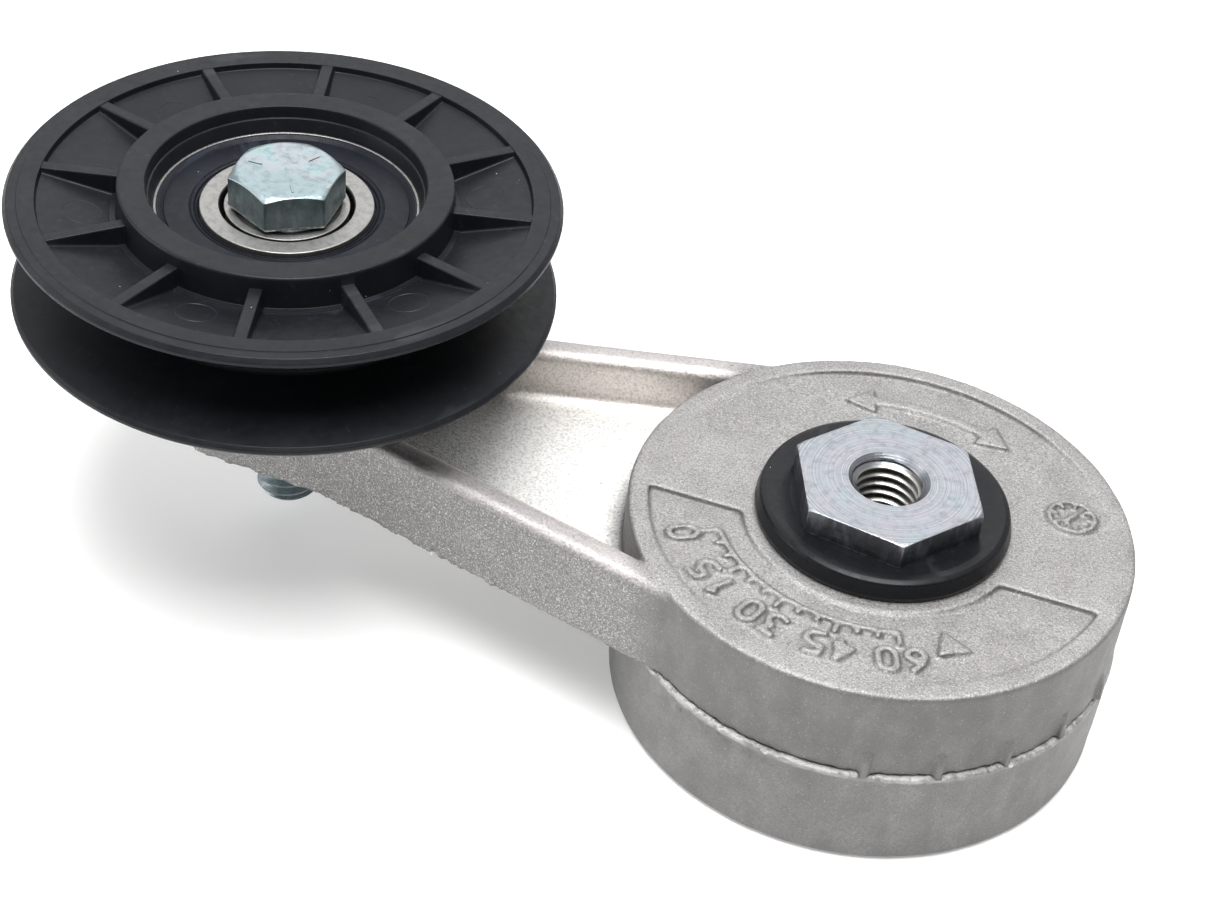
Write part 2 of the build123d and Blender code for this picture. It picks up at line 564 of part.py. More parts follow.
# Idler bolt: chamfered hexagon, washer face and shank
with BuildPart() as idler_bolt:
    with BuildSketch(Plane.XY.offset(BOLT_HEAD_BOTTOM)):
        with Locations((-ARM_LENGTH, 0)):
            RegularPolygon(BOLT_FLATS / 2, 6, major_radius=False, rotation=BOLT_CLOCKING)
    extrude(amount=BOLT_HEAD_TOP - BOLT_HEAD_BOTTOM)
    with BuildSketch(Plane.XZ):
        with BuildLine():
            outline = [(0, BOLT_HEAD_BOTTOM), (BOLT_CHAMFER_RADIUS, BOLT_HEAD_BOTTOM),
                       (BOLT_CHAMFER_RADIUS, BOLT_HEAD_TOP - BOLT_CHAMFER_DROP),
                       (BOLT_FLATS / 2 - 0.1, BOLT_HEAD_TOP), (0, BOLT_HEAD_TOP)]
            Polyline(*[(r - ARM_LENGTH, z) for r, z in outline], close=True)
        make_face()
    revolve(axis=PULLEY_AXIS, mode=Mode.INTERSECT)
    with BuildSketch(Plane.XZ):
        with BuildLine():
            tip = BOLT_SEAT - BOLT_LENGTH
            outline = [(0, tip), (BOLT_RADIUS - BOLT_POINT, tip), (BOLT_RADIUS, tip + BOLT_POINT),
                       (BOLT_RADIUS, BOLT_SEAT), (BOLT_FACE_RADIUS, BOLT_SEAT),
                       (BOLT_FACE_RADIUS, BOLT_HEAD_BOTTOM + 0.3), (0, BOLT_HEAD_BOTTOM + 0.3)]
            Polyline(*[(r - ARM_LENGTH, z) for r, z in outline], close=True)
        make_face()
    revolve(axis=PULLEY_AXIS)
save(idler_bolt, "idler_bolt")
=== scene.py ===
import json
import math

import bmesh
import bpy
from mathutils import Matrix, Vector, noise
from mathutils.bvhtree import BVHTree


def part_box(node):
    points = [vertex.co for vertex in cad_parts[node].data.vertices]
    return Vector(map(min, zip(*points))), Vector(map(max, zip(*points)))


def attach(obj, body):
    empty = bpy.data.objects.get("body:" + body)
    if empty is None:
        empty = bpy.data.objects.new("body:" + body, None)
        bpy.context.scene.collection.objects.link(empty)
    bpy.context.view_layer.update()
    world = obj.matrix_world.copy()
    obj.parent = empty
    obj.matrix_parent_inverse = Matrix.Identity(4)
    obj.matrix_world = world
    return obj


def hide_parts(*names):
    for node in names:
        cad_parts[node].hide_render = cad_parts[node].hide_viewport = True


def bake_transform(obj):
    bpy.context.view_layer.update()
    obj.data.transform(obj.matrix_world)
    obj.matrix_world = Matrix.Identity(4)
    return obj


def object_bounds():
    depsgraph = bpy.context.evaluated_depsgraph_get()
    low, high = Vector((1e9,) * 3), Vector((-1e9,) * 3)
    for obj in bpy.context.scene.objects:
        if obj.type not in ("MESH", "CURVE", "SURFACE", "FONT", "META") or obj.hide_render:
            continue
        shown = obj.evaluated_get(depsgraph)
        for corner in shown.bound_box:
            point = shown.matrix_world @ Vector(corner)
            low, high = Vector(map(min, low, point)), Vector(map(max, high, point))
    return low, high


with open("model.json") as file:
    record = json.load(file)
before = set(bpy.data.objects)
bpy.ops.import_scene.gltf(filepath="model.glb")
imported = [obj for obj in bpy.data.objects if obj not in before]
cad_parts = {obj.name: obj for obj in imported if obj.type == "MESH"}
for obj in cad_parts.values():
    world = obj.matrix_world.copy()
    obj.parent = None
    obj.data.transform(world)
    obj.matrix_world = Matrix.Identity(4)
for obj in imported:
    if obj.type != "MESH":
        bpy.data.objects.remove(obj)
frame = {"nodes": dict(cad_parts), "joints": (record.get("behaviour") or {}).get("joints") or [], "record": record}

# Belt tensioner idler: cast arm and base, plated hub and bolt, moulded pulley and sealed bearing.
# Every outline below is in millimetres. Its place comes from the joints and the CAD nodes.
CAD_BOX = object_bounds()
MM = 0.001
NODES = frame["nodes"]
UP = Vector((0, 0, 1))


def joint_point(name):
    """Where a joint's axis stands, in millimetres."""
    joint = next(j for j in frame["joints"] if j["name"] == name)
    return Vector(joint["pos_m"]) / MM


def low(node):
    """Lowest corner of a CAD node, in millimetres."""
    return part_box(node)[0] / MM


def high(node):
    """Highest corner of a CAD node, in millimetres."""
    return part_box(node)[1] / MM


def radius(node):
    """Outer radius of a round CAD node, in millimetres."""
    return (high(node).y - low(node).y) / 2


PULLEY = joint_point("pulley_spin")
HUB_AXIS = (0, 0)
PULLEY_AXIS = (PULLEY.x, PULLEY.y)
SKIRT_BOTTOM = 16.75
LEDGE = 16.3
BEAM_TOP = 30.5
BASE_BOSS = low("lower_thrust_washer").z
HUB_TOP = high("hub_shaft").z
PULLEY_RADIUS = radius("pulley")
BOLT_TOP = high("idler_bolt").z
BOLT_TIP = low("idler_bolt").z
BEARING_RADIUS = radius("bearing_outer_ring")
CUP_EDGE, BEAM_START = 35.4, 38

# Hub and bolt
HUB_FLATS = 23.8
HUB_CLOCKING = 51.7
HUB_HEX_HEIGHT = 4.0
HUB_SHAFT = 11.0
HUB_MINOR = 4.25
HUB_MAJOR = 5.0
HUB_MOUTH = 5.6
HUB_PITCH = 1.5
BOLT_FLATS = 14.1
BOLT_CLOCKING = 33.1
BOLT_HEAD = 5.4
BOLT_FACE = 0.55
BUSHING_DISH = 0.25
BOLT_RADIUS = 4.72
BOLT_MINOR = 3.95
BOLT_PITCH = 25.4 / 16
BOLT_THREAD = 27.0
LINE_RISE = 0.09
LINE_START, LINE_LENGTH, LINE_HALF = 3.6, 2.1, 0.22
CHAMFER_DEGREES = 29

# Pulley
PULLEY_RIBS = 12
FLANGE_HALF = 8.1
RING_HALF = (high("pulley").z - low("pulley").z) / 2
RING_RADIUS = 22.95
MOUTH = 19.16
SEAT_LIP = 18.1
POCKET_RADIUS = 33.77
GROOVE_ROOT = 26.5
POCKET_FLOOR = 4.96
POCKET_START = RING_RADIUS + 1.22
FLOOR_SLOPE = 0.234
RIB_TOP = 7.95
RIB_CREST = [(0.0, 0.0), (0.64, 0.0), (0.78, 0.03), (0.86, 0.11), (0.90, 0.25)]
RIB_WALL = 0.97
RIB_REACH = 1.28
RIB_FILLET = 0.35
EJECTOR_PLACE = 27.6
EJECTOR_RADIUS = 2.7

# Marks on the roof of the arm
ABOVE_ROOF = 60
MARK_RISE = 0.65
STROKE = 0.85
DIGIT_WIDTH = 2.3
ARROW_RADIUS = 25.4
ARROW_START, ARROW_END = 58, 116
SCALE_RADIUS = 23.0
SCALE_START, SCALE_PITCH, SCALE_STEPS = -149, 6.5, 12
DIAL_CENTRE = (24.6, 10.4)

# Index tabs on the arm's skirt: height and reach of each level, then depth and half width
SKIRT_RADIUS = 34.95
TAB_START, TAB_PITCH, TAB_COUNT = -76.5, 16, 5
TAB_HEIGHT = 3.4
TAB_LEVELS = [(SKIRT_BOTTOM - 0.3, 0.85), (SKIRT_BOTTOM + TAB_HEIGHT - 0.9, 0.65),
              (SKIRT_BOTTOM + TAB_HEIGHT, -0.1)]
TAB_ROOT, TAB_ROOT_HALF, TAB_FACE_HALF = -0.8, 0.55, 0.42

# Spring
WIRE = 5.0
COIL_TURNS = 3.15

# Light, floor and camera
FLOOR_REACH = 2500
FLOOR_GAP = 0.03
WORLD_FRONT, WORLD_BACK = 0.05, 0.60
WORLD_FROM, WORLD_TO = -0.7, 0.6
FLOOR_GLOW = 0.28
LIGHT_SIDE = (-0.35, 0.85, 0.4)
# Name, azimuth and elevation in degrees, distance, width and height in metres, power in watts
SOFTBOXES = [("overhead", 20, 81, 0.9, 0.6, 0.6, 13.8), ("behind", 195, 44, 1.1, 1.3, 0.8, 4.0),
             ("left", 285, 35, 1.0, 0.6, 0.6, 1.8), ("low_left", 294, 6, 1.0, 0.7, 0.2, 2.6)]
LENS = 68.56
CAMERA_AZIMUTH, CAMERA_ELEVATION, CAMERA_ROLL = 15.03, 39.76, 6.25
CAMERA_DISTANCE = 369.4
LOOK_ALONG_ARM, LOOK_BEHIND = 0.542, 31.78


# ---------------------------------------------------------------- materials

class Nodes:
    """A short way to add shader nodes to one material."""

    def __init__(self, name):
        self.material = bpy.data.materials.new(name)
        self.material.use_nodes = True
        self.tree = self.material.node_tree
        self.shader = self.tree.nodes["Principled BSDF"]
        place = self.add("ShaderNodeTexCoord")
        self.point, self.normal = place.outputs["Object"], place.outputs["Normal"]

    def add(self, kind, **values):
        """A node with its properties and its input values set."""
        node = self.tree.nodes.new(kind)
        for key, value in values.items():
            if hasattr(node, key):
                setattr(node, key, value)
            else:
                node.inputs[key.replace("_", " ")].default_value = value
        return node

    def link(self, source, target):
        self.tree.links.new(source, target)

    def parts(self, vector):
        """The three numbers of a vector."""
        node = self.add("ShaderNodeSeparateXYZ")
        self.link(vector, node.inputs[0])
        return node.outputs

    def noise(self, per_mm, detail=2.0, rough=0.5, vector=None):
        """Noise with so many features per millimetre, from 0 to 1."""
        node = self.add("ShaderNodeTexNoise", Scale=per_mm / MM, Detail=detail, Roughness=rough)
        self.link(vector or self.point, node.inputs["Vector"])
        return node.outputs["Fac"]

    def ramp(self, value, stops):
        """Colours along a value: stops are (place, colour)."""
        node = self.add("ShaderNodeValToRGB")
        marks = node.color_ramp.elements
        while len(marks) < len(stops):
            marks.new(0.5)
        for mark, (place, colour) in zip(marks, stops):
            mark.position = place
            mark.color = (*colour, 1)
        self.link(value, node.inputs["Fac"])
        return node.outputs["Color"]

    def spread(self, value, low_end, high_end, start=0.0, end=1.0):
        """Maps a value from start..end to low_end..high_end, and holds it there."""
        node = self.add("ShaderNodeMapRange")
        for key, number in (("From Min", start), ("From Max", end),
                            ("To Min", low_end), ("To Max", high_end)):
            node.inputs[key].default_value = number
        self.link(value, node.inputs["Value"])
        return node.outputs["Result"]

    def math(self, operation, a, b=None):
        """One math step. a and b are sockets or numbers."""
        node = self.add("ShaderNodeMath", operation=operation)
        for socket, value in zip(node.inputs, (a, b)):
            if isinstance(value, (int, float)):
                socket.default_value = value
            elif value is not None:
                self.link(value, socket)
        return node.outputs[0]

    def times(self, a, b):
        """The product of two sockets or numbers."""
        return self.math("MULTIPLY", a, b)

    def rest(self, a):
        """What is left of 1."""
        return self.math("SUBTRACT", 1.0, a)

    def apart(self, a, b):
        """How far two values are from each other."""
        return self.math("ABSOLUTE", self.math("SUBTRACT", a, b))

    def mix(self, factor, a, b):
        """Colour a turning into colour b. Each is a socket or a colour."""
        node = self.add("ShaderNodeMix", data_type="RGBA")
        for socket, value in ((node.inputs[0], factor), (node.inputs[6], a), (node.inputs[7], b)):
            if isinstance(value, tuple):
                socket.default_value = (*value, 1)
            elif isinstance(value, (int, float)):
                socket.default_value = value
            else:
                self.link(value, socket)
        return node.outputs[2]

    def bump(self, height, depth_mm, normal=None):
        """A bump as deep as depth_mm where height goes from 0 to 1."""
        node = self.add("ShaderNodeBump", Strength=1.0, Distance=depth_mm * MM)
        self.link(height, node.inputs["Height"])
        if normal is not None:
            self.link(normal, node.inputs["Normal"])
        return node.outputs["Normal"]

    def scaled(self, factors):
        """The place in the object, stretched by a factor along each axis."""
        node = self.add("ShaderNodeVectorMath", operation="MULTIPLY")
        self.link(self.point, node.inputs[0])
        node.inputs[1].default_value = factors
        return node.outputs[0]

    def rings(self, centre, per_mm, detail=3.0):
        """Uneven circles round a vertical axis, as a tool leaves on a turned face."""
        across = self.distance(centre)
        place = self.add("ShaderNodeCombineXYZ")
        self.link(across, place.inputs[0])
        return self.noise(per_mm, detail, 0.6, place.outputs[0])

    def distance(self, centre):
        """Distance in metres from a vertical axis."""
        apart = self.add("ShaderNodeVectorMath", operation="SUBTRACT")
        self.link(self.point, apart.inputs[0])
        apart.inputs[1].default_value = (centre[0] * MM, centre[1] * MM, 0)
        flat = self.add("ShaderNodeVectorMath", operation="MULTIPLY")
        self.link(apart.outputs[0], flat.inputs[0])
        flat.inputs[1].default_value = (1, 1, 0)
        size = self.add("ShaderNodeVectorMath", operation="LENGTH")
        self.link(flat.outputs[0], size.inputs[0])
        return size.outputs["Value"]

    def edges(self, start, end):
        """From 0 to 1 as the mesh's pointiness, 0.5 where it is flat, goes from start to end."""
        sharp = self.add("ShaderNodeNewGeometry").outputs["Pointiness"]
        return self.spread(sharp, 0, 1, start, end)

    def specks(self, per_mm, share, size):
        """Dots, 1 inside a dot: so many cells per millimetre, a share of them filled."""
        cell = self.add("ShaderNodeTexVoronoi", Scale=per_mm / MM)
        self.link(self.point, cell.inputs["Vector"])
        chosen = self.add("ShaderNodeSeparateColor")
        self.link(cell.outputs["Color"], chosen.inputs[0])
        near = self.math("LESS_THAN", cell.outputs["Distance"], size)
        return self.times(near, self.math("LESS_THAN", chosen.outputs[0], share))

    def finish(self, colour, rough, normal, **fixed):
        """Joins the results to the shader, and returns the material."""
        for key, value in (("Base Color", colour), ("Roughness", rough), ("Normal", normal)):
            if isinstance(value, (int, float)):
                self.shader.inputs[key].default_value = value
            else:
                self.link(value, self.shader.inputs[key])
        for key, value in fixed.items():
            self.shader.inputs[key.replace("_", " ")].default_value = value
        return self.material


def tone(colour, k):
    """A colour k times as bright, and no brighter than white."""
    return tuple(min(1, k * c) for c in colour)


def cast_metal(name, light, dark, painted_wall_shade, edge_height, edge_share):
    """Die-cast aluminium: a sandy grain over clouds and drag marks, its walls painted darker as painted shade, its
    beam painted lighter above and darker on its outer sides as painted light and shade.
    """
    n = Nodes(name)
    grain = n.noise(2.6, 4.0, 0.7)
    cloud = n.noise(0.06, 3.0, 0.6)
    patch = n.noise(0.22, 4.0, 0.65)

    # Where a place is: on a face that looks up, the round walls, or a side of the beam.
    facing, place = n.parts(n.normal), n.parts(n.point)
    up = n.spread(facing[2], 0, 1, 0.3, 0.9)
    beam = n.spread(n.distance(HUB_AXIS), 0, 1, CUP_EDGE * MM, BEAM_START * MM)
    wall = n.times(n.rest(up), n.rest(beam))
    web = n.spread(place[2], 1, 0, (BEAM_TOP - 4) * MM, (BEAM_TOP - 2) * MM)
    inward = n.spread(n.times(facing[1], place[1]), 1, 0, -8 * MM, -3 * MM)
    open_side = n.times(beam, n.math("MAXIMUM", up, inward))
    flank = n.math("MAXIMUM", n.math("SUBTRACT", n.times(beam, n.rest(up)), open_side), 0.0)

    colour = n.mix(n.spread(cloud, 0, 1, 0.35, 0.68), dark, light)
    colour = n.mix(n.spread(patch, 0, 0.42, 0.48, 0.70), colour, tone(dark, 0.62))
    # Painted shade: the round walls are painted darker than the rest.
    colour = n.mix(n.times(wall, painted_wall_shade), colour, tone(dark, 0.4))

    # Marks that the mould drags down the walls.
    drag = n.noise(0.26, 4.0, 0.6, n.scaled((1, 1, 0.6)))
    colour = n.mix(n.times(wall, n.spread(drag, 0.20, 0, 0.34, 0.52)), colour, light)
    colour = n.mix(n.times(wall, n.spread(drag, 0, 0.22, 0.50, 0.70)), colour, tone(dark, 0.28))

    # The beam, with painted light and shade: its ribs and web painted lighter from above, the web most, its inner
    # sides painted lighter, its outer sides painted darker.
    beam_top_painted_light = n.mix(web, (0.50, 0.47, 0.468), (0.92, 0.915, 0.89))
    colour = n.mix(n.times(beam, up), colour, beam_top_painted_light)
    colour = n.mix(n.times(beam, inward), colour, (0.80, 0.74, 0.70))
    colour = n.mix(n.times(flank, 0.50), colour, tone(dark, 0.4))

    # Dark hollows and bright flecks of the sandy skin, strongest on the outer sides.
    sandy = n.mix(flank, (1.35, 1.35, 1.35), (1.9, 1.9, 1.9))
    sandy = n.mix(open_side, sandy, (0.8, 0.8, 0.8))
    fleck = n.math("ADD", n.noise(4.2, 3.0, 0.7), n.times(wall, -0.08))
    colour = n.mix(n.times(sandy, n.spread(grain, 0, 0.6, 0.56, 0.34)), colour, tone(dark, 0.45))
    colour = n.mix(n.times(sandy, n.spread(fleck, 0, 0.30, 0.52, 0.68)), colour, (0.88, 0.87, 0.85))

    # Painted shade darkening creases and corners, a rubbed edge and a few pits.
    colour = n.mix(n.times(n.edges(0.488, 0.45), 0.75), colour, tone(dark, 0.35))
    near = n.spread(n.apart(place[2], edge_height * MM), edge_share, 0, 0.2 * MM, 0.9 * MM)
    rubbed = n.times(near, n.spread(patch, 0.3, 1, 0.4, 0.6))
    colour = n.mix(rubbed, colour, (0.72, 0.71, 0.69))
    colour = n.mix(n.times(n.specks(0.35, 0.08, 0.07), 0.6), colour, (0.16, 0.15, 0.14))

    rough = n.mix(beam, n.spread(grain, 0.46, 0.68, 0.3, 0.7), n.spread(grain, 0.34, 0.5, 0.3, 0.7))
    normal = n.bump(n.noise(7.0, 2.0), 0.035, n.bump(grain, 0.12))
    return n.finish(colour, rough, normal, Metallic=0.8)


def plated_steel(name, centre, tint, ring_depth, ring_share, rainbow, side_rough, painted_side_shade,
                 burr_highlight_height, bore):
    """Zinc-plated steel, turned: uneven circles, a blue cast and faint rainbow patches, with painted shade on the
    sides and in the bore's grooves, and painted highlights.
    """
    n = Nodes(name)
    rings = n.rings(centre, 4.5, 6.0)
    blotch = n.noise(0.8, 5.0, 0.7)
    height = n.parts(n.point)[2]
    up = n.spread(n.parts(n.normal)[2], 0, 1, 0.35, 0.65)
    side = n.rest(up)

    # The film of plating, its turned circles and its blotches.
    casts = [(1, 1, 1), (1.22, 1.04, 1.06), (1.0, 1.12, 1.12), (1.14, 1.10, 0.96)]
    stops = [(place, tuple(c * (1 + rainbow * (k - 1)) for c, k in zip(tint, cast)))
             for place, cast in zip((0.42, 0.54, 0.64, 0.76), casts)]
    shade = n.ramp(n.noise(0.14, 2.0), stops)
    turned_part = n.times(up, n.spread(rings, 0, 1, 0.40, 0.62))
    shade = n.mix(n.times(turned_part, ring_share), shade, tone(tint, 0.4))
    shade = n.mix(n.spread(blotch, 0, 0.6, 0.48, 0.68), shade, tone(tint, 0.5))

    # Sides painted darker as painted shade, streaked with painted reflections, and a bright line painted along one
    # edge as a painted highlight on its burr.
    streak = n.noise(0.7, 4.0, 0.6, n.scaled((1, 1, 0.35)))
    streaked_painted_shade = n.spread(streak, 0.74 * painted_side_shade, painted_side_shade, 0.40, 0.64)
    streaked_painted_reflection = n.spread(streak, 0.28 * painted_side_shade, 0, 0.34, 0.50)
    shade = n.mix(n.times(side, streaked_painted_shade), shade, tone(tint, 0.12))
    shade = n.mix(n.times(side, streaked_painted_reflection), shade, tone(tint, 2.0))
    # Painted highlight: a bright line at one height on the sides, over a burr.
    near_burr_highlight = n.spread(n.apart(height, burr_highlight_height * MM), 0.9, 0, 0.15 * MM, 0.35 * MM)
    burr_highlight = n.times(near_burr_highlight, n.spread(n.noise(1.5, 3.0), 0.2, 1, 0.4, 0.6))
    shade = n.mix(n.times(burr_highlight, side), shade, (0.85, 0.86, 0.86))

    # A threaded bore: bright crests, and grooves painted dark below its mouth as painted shade.
    across = n.distance(centre)
    inside = n.math("LESS_THAN", across, (bore + 0.2) * MM)
    deep = n.spread(height, 1, 0, (HUB_TOP - 1.6) * MM, (HUB_TOP - 1.1) * MM)
    thread = n.mix(n.spread(across, 0, 1, (bore - 0.60) * MM, (bore - 0.35) * MM),
                   (0.44, 0.425, 0.405), (0.13, 0.132, 0.122))
    shade = n.mix(n.times(inside, deep), shade, thread)

    rough = n.mix(up, n.spread(blotch, side_rough, side_rough + 0.2, 0.3, 0.7),
                  n.spread(blotch, 0.24, 0.44, 0.3, 0.7))
    normal = n.bump(blotch, 0.03, n.bump(n.times(up, rings), ring_depth))
    return n.finish(shade, rough, normal, Metallic=1.0)


def ground_steel(name, centre, colour, rough_low, rough_high, painted_shade_radius=0):
    """Ground bearing steel: fine circles and uneven gloss, painted nearly black inside a given radius as painted
    shade in the gap by the bushing.
    """
    n = Nodes(name)
    rings = n.rings(centre, 9.0, 4.0)
    stain = n.noise(0.9, 5.0, 0.75)
    shade = n.mix(n.spread(stain, 0, 0.7, 0.45, 0.70), colour, tone(colour, 0.5))
    # Painted shade: nearly black inside the radius, where the ring meets the bushing.
    deep = n.spread(n.distance(centre), 0.93, 0, (painted_shade_radius - 0.1) * MM, painted_shade_radius * MM)
    shade = n.mix(deep, shade, (0, 0, 0))
    rough = n.spread(rings, rough_low, rough_high, 0.3, 0.7)
    return n.finish(shade, rough, n.bump(rings, 0.006), Metallic=1.0)


def moulded(name, colour, rough_low, rough_high, dust, grain_depth, shine=0.19):
    """Moulded plastic or rubber: fine texture, flow clouds, rubbed edges and a little dust."""
    n = Nodes(name)
    cloud = n.noise(0.12, 4.0, 0.6)
    shade = n.mix(n.spread(cloud, 0, 1, 0.35, 0.7), tone(colour, 0.82), tone(colour, 1.2))
    shade = n.mix(n.times(n.edges(0.52, 0.60), 0.25), shade, tone(colour, 5))
    smear = n.spread(n.noise(0.9, 5.0, 0.7), 0, 1, 0.60, 0.78)
    shade = n.mix(n.times(smear, dust), shade, (0.16, 0.16, 0.16))
    shade = n.mix(n.times(n.specks(0.55, 0.09, 0.045), 0.8), shade, (0.55, 0.54, 0.52))
    rough = n.spread(n.noise(0.8, 4.0), rough_low, rough_high, 0.35, 0.68)
    return n.finish(shade, rough, n.bump(n.noise(6.0, 2.0), grain_depth), Specular_IOR_Level=shine)


def oiled_wire(name):
    """Oil-tempered spring wire: near black, with streaks."""
    n = Nodes(name)
    streak = n.noise(0.7, 4.0, 0.7)
    shade = n.ramp(streak, [(0.3, (0.05, 0.05, 0.055)), (0.7, (0.16, 0.15, 0.15))])
    rough = n.spread(streak, 0.3, 0.5, 0.3, 0.7)
    return n.finish(shade, rough, n.bump(streak, 0.02), Metallic=0.9)


def pale_floor(name):
    """A matt white sweep with a barely seen unevenness."""
    n = Nodes(name)
    cloud = n.noise(0.004, 2.0)
    return n.finish(n.mix(cloud, (0.75, 0.75, 0.745), (0.78, 0.78, 0.775)), 0.8,
                    n.bump(cloud, 0.02), Specular_IOR_Level=0.2,
                    Emission_Color=(1, 1, 1, 1), Emission_Strength=FLOOR_GLOW)


MATERIALS = {
    "cast_arm": cast_metal("cast_arm", (0.372, 0.364, 0.362), (0.32, 0.311, 0.309),
                           painted_wall_shade=0.72, edge_height=SKIRT_BOTTOM, edge_share=0),
    "cast_base": cast_metal("cast_base", (0.37, 0.363, 0.360), (0.31, 0.305, 0.302),
                            painted_wall_shade=0.52, edge_height=LEDGE, edge_share=0.5),
    "zinc_hub": plated_steel("zinc_hub", HUB_AXIS, (0.415, 0.442, 0.478), ring_depth=0.05,
                             ring_share=0.7, rainbow=0.45, side_rough=0.26, painted_side_shade=0.68,
                             burr_highlight_height=HUB_TOP - HUB_HEX_HEIGHT, bore=HUB_MAJOR),
    "zinc_bolt": plated_steel("zinc_bolt", PULLEY_AXIS, (0.325, 0.41, 0.43), ring_depth=0.006,
                              ring_share=0.12, rainbow=1.0, side_rough=0.34, painted_side_shade=0.45,
                              burr_highlight_height=BOLT_TOP - BOLT_HEAD + 0.3, bore=-1),
    "spring_steel": oiled_wire("spring_steel"),
    "black_nylon": moulded("black_nylon", (0.007, 0.0075, 0.009), 0.26, 0.40, 0.10, 0.004),
    "bushing_polymer": moulded("bushing_polymer", (0.62, 0.58, 0.47), 0.4, 0.55, 0.05, 0.006),
    "pulley_nylon": moulded("pulley_nylon", (0.009, 0.010, 0.0125), 0.34, 0.46, 0.12, 0.012),
    "bearing_steel": ground_steel("bearing_steel", PULLEY_AXIS, (0.345, 0.34, 0.33), 0.42, 0.58,
                                  painted_shade_radius=9.35),
    "seal_rubber": moulded("seal_rubber", (0.0085, 0.010, 0.0145), 0.36, 0.48, 0.12, 0.006, 0.14),
    "cage_steel": ground_steel("cage_steel", PULLEY_AXIS, (0.52, 0.51, 0.49), 0.3, 0.45),
    "bushing_steel": ground_steel("bushing_steel", PULLEY_AXIS, (0.35, 0.345, 0.333), 0.38, 0.5),
}


# ---------------------------------------------------------------- mesh tools

def piece(name, verts, faces, body, slot, stands_for=(), smooth_angle=35):
    """A mesh piece in millimetres that rides on a body and takes a material slot."""
    mesh = bpy.data.meshes.new(name)
    mesh.from_pydata([tuple(c * MM for c in v) for v in verts], [], faces)
    mesh.validate()
    return placed(mesh, name, body, slot, stands_for, smooth_angle)


def placed(mesh, name, body, slot, stands_for=(), smooth_angle=35):
    """Puts a finished mesh, in metres, into the scene on its body, shaded smooth up to an angle."""
    mesh.materials.clear()
    mesh.materials.append(MATERIALS[slot])
    for face in mesh.polygons:
        face.use_smooth = True
        face.material_index = 0
    mesh.set_sharp_from_angle(angle=math.radians(smooth_angle))
    shape = bpy.data.objects.new(name, mesh)
    bpy.context.scene.collection.objects.link(shape)
    weighted = shape.modifiers.new("weighted_normals", "WEIGHTED_NORMAL")
    weighted.keep_sharp = True
    if body:
        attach(shape, body)
    if stands_for:
        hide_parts(*stands_for)
    return shape


def rounded(points, sizes, steps=5):
    """A closed outline with its corners rounded. sizes is one radius, or one for each corner."""
    if isinstance(sizes, (int, float)):
        sizes = [sizes] * len(points)
    outline = []
    for i, (corner, size) in enumerate(zip(points, sizes)):
        here = Vector(corner)
        before = Vector(points[i - 1]) - here
        after = Vector(points[(i + 1) % len(points)]) - here
        half = before.angle(after) / 2
        reach = min(size / max(math.tan(half), 1e-6), 0.45 * before.length, 0.45 * after.length)
        if size <= 0 or half > math.radians(89):
            outline.append(tuple(here))
            continue
        a, b = before.normalized() * reach, after.normalized() * reach
        for k in range(steps + 1):
            t = k / steps
            outline.append(tuple(here + a * (1 - t) ** 2 + b * t ** 2))
    return outline


def turned(profile, centre, columns=180):
    """Vertices and faces of a closed outline of (radius, height) turned about a vertical axis."""
    verts = []
    for i in range(columns):
        angle = 2 * math.pi * i / columns
        verts += [(centre[0] + r * math.cos(angle), centre[1] + r * math.sin(angle), z)
                  for r, z in profile]
    return verts, grid_faces(columns, len(profile), True, True)


def ring_piece(name, outline, sizes, centre, body, slot, node, columns=180):
    """A turned piece that stands for one CAD node."""
    verts, faces = turned(rounded(outline, sizes), centre, columns)
    return piece(name, verts, outward(verts, faces), body, slot, (node,))


def outward(verts, faces):
    """The faces, flipped if the closed shape that they make is inside out."""
    volume = 0.0
    for face in faces:
        a = Vector(verts[face[0]])
        for i in range(1, len(face) - 1):
            volume += a.dot(Vector(verts[face[i]]).cross(Vector(verts[face[i + 1]])))
    return faces if volume > 0 else [tuple(reversed(f)) for f in faces]


def grid_faces(columns, rows, columns_meet, rows_meet):
    """Faces of a grid of vertices stored column by column, whose ends may meet."""
    faces = []
    for i in range(columns if columns_meet else columns - 1):
        here, there = i * rows, (i + 1) % columns * rows
        for k in range(rows if rows_meet else rows - 1):
            up = (k + 1) % rows
            faces.append((here + k, there + k, there + up, here + up))
    return faces


def evaluated(shape):
    """The mesh of an object with its modifiers applied."""
    bpy.context.view_layer.update()
    graph = bpy.context.evaluated_depsgraph_get()
    return bpy.data.meshes.new_from_object(shape.evaluated_get(graph), depsgraph=graph)


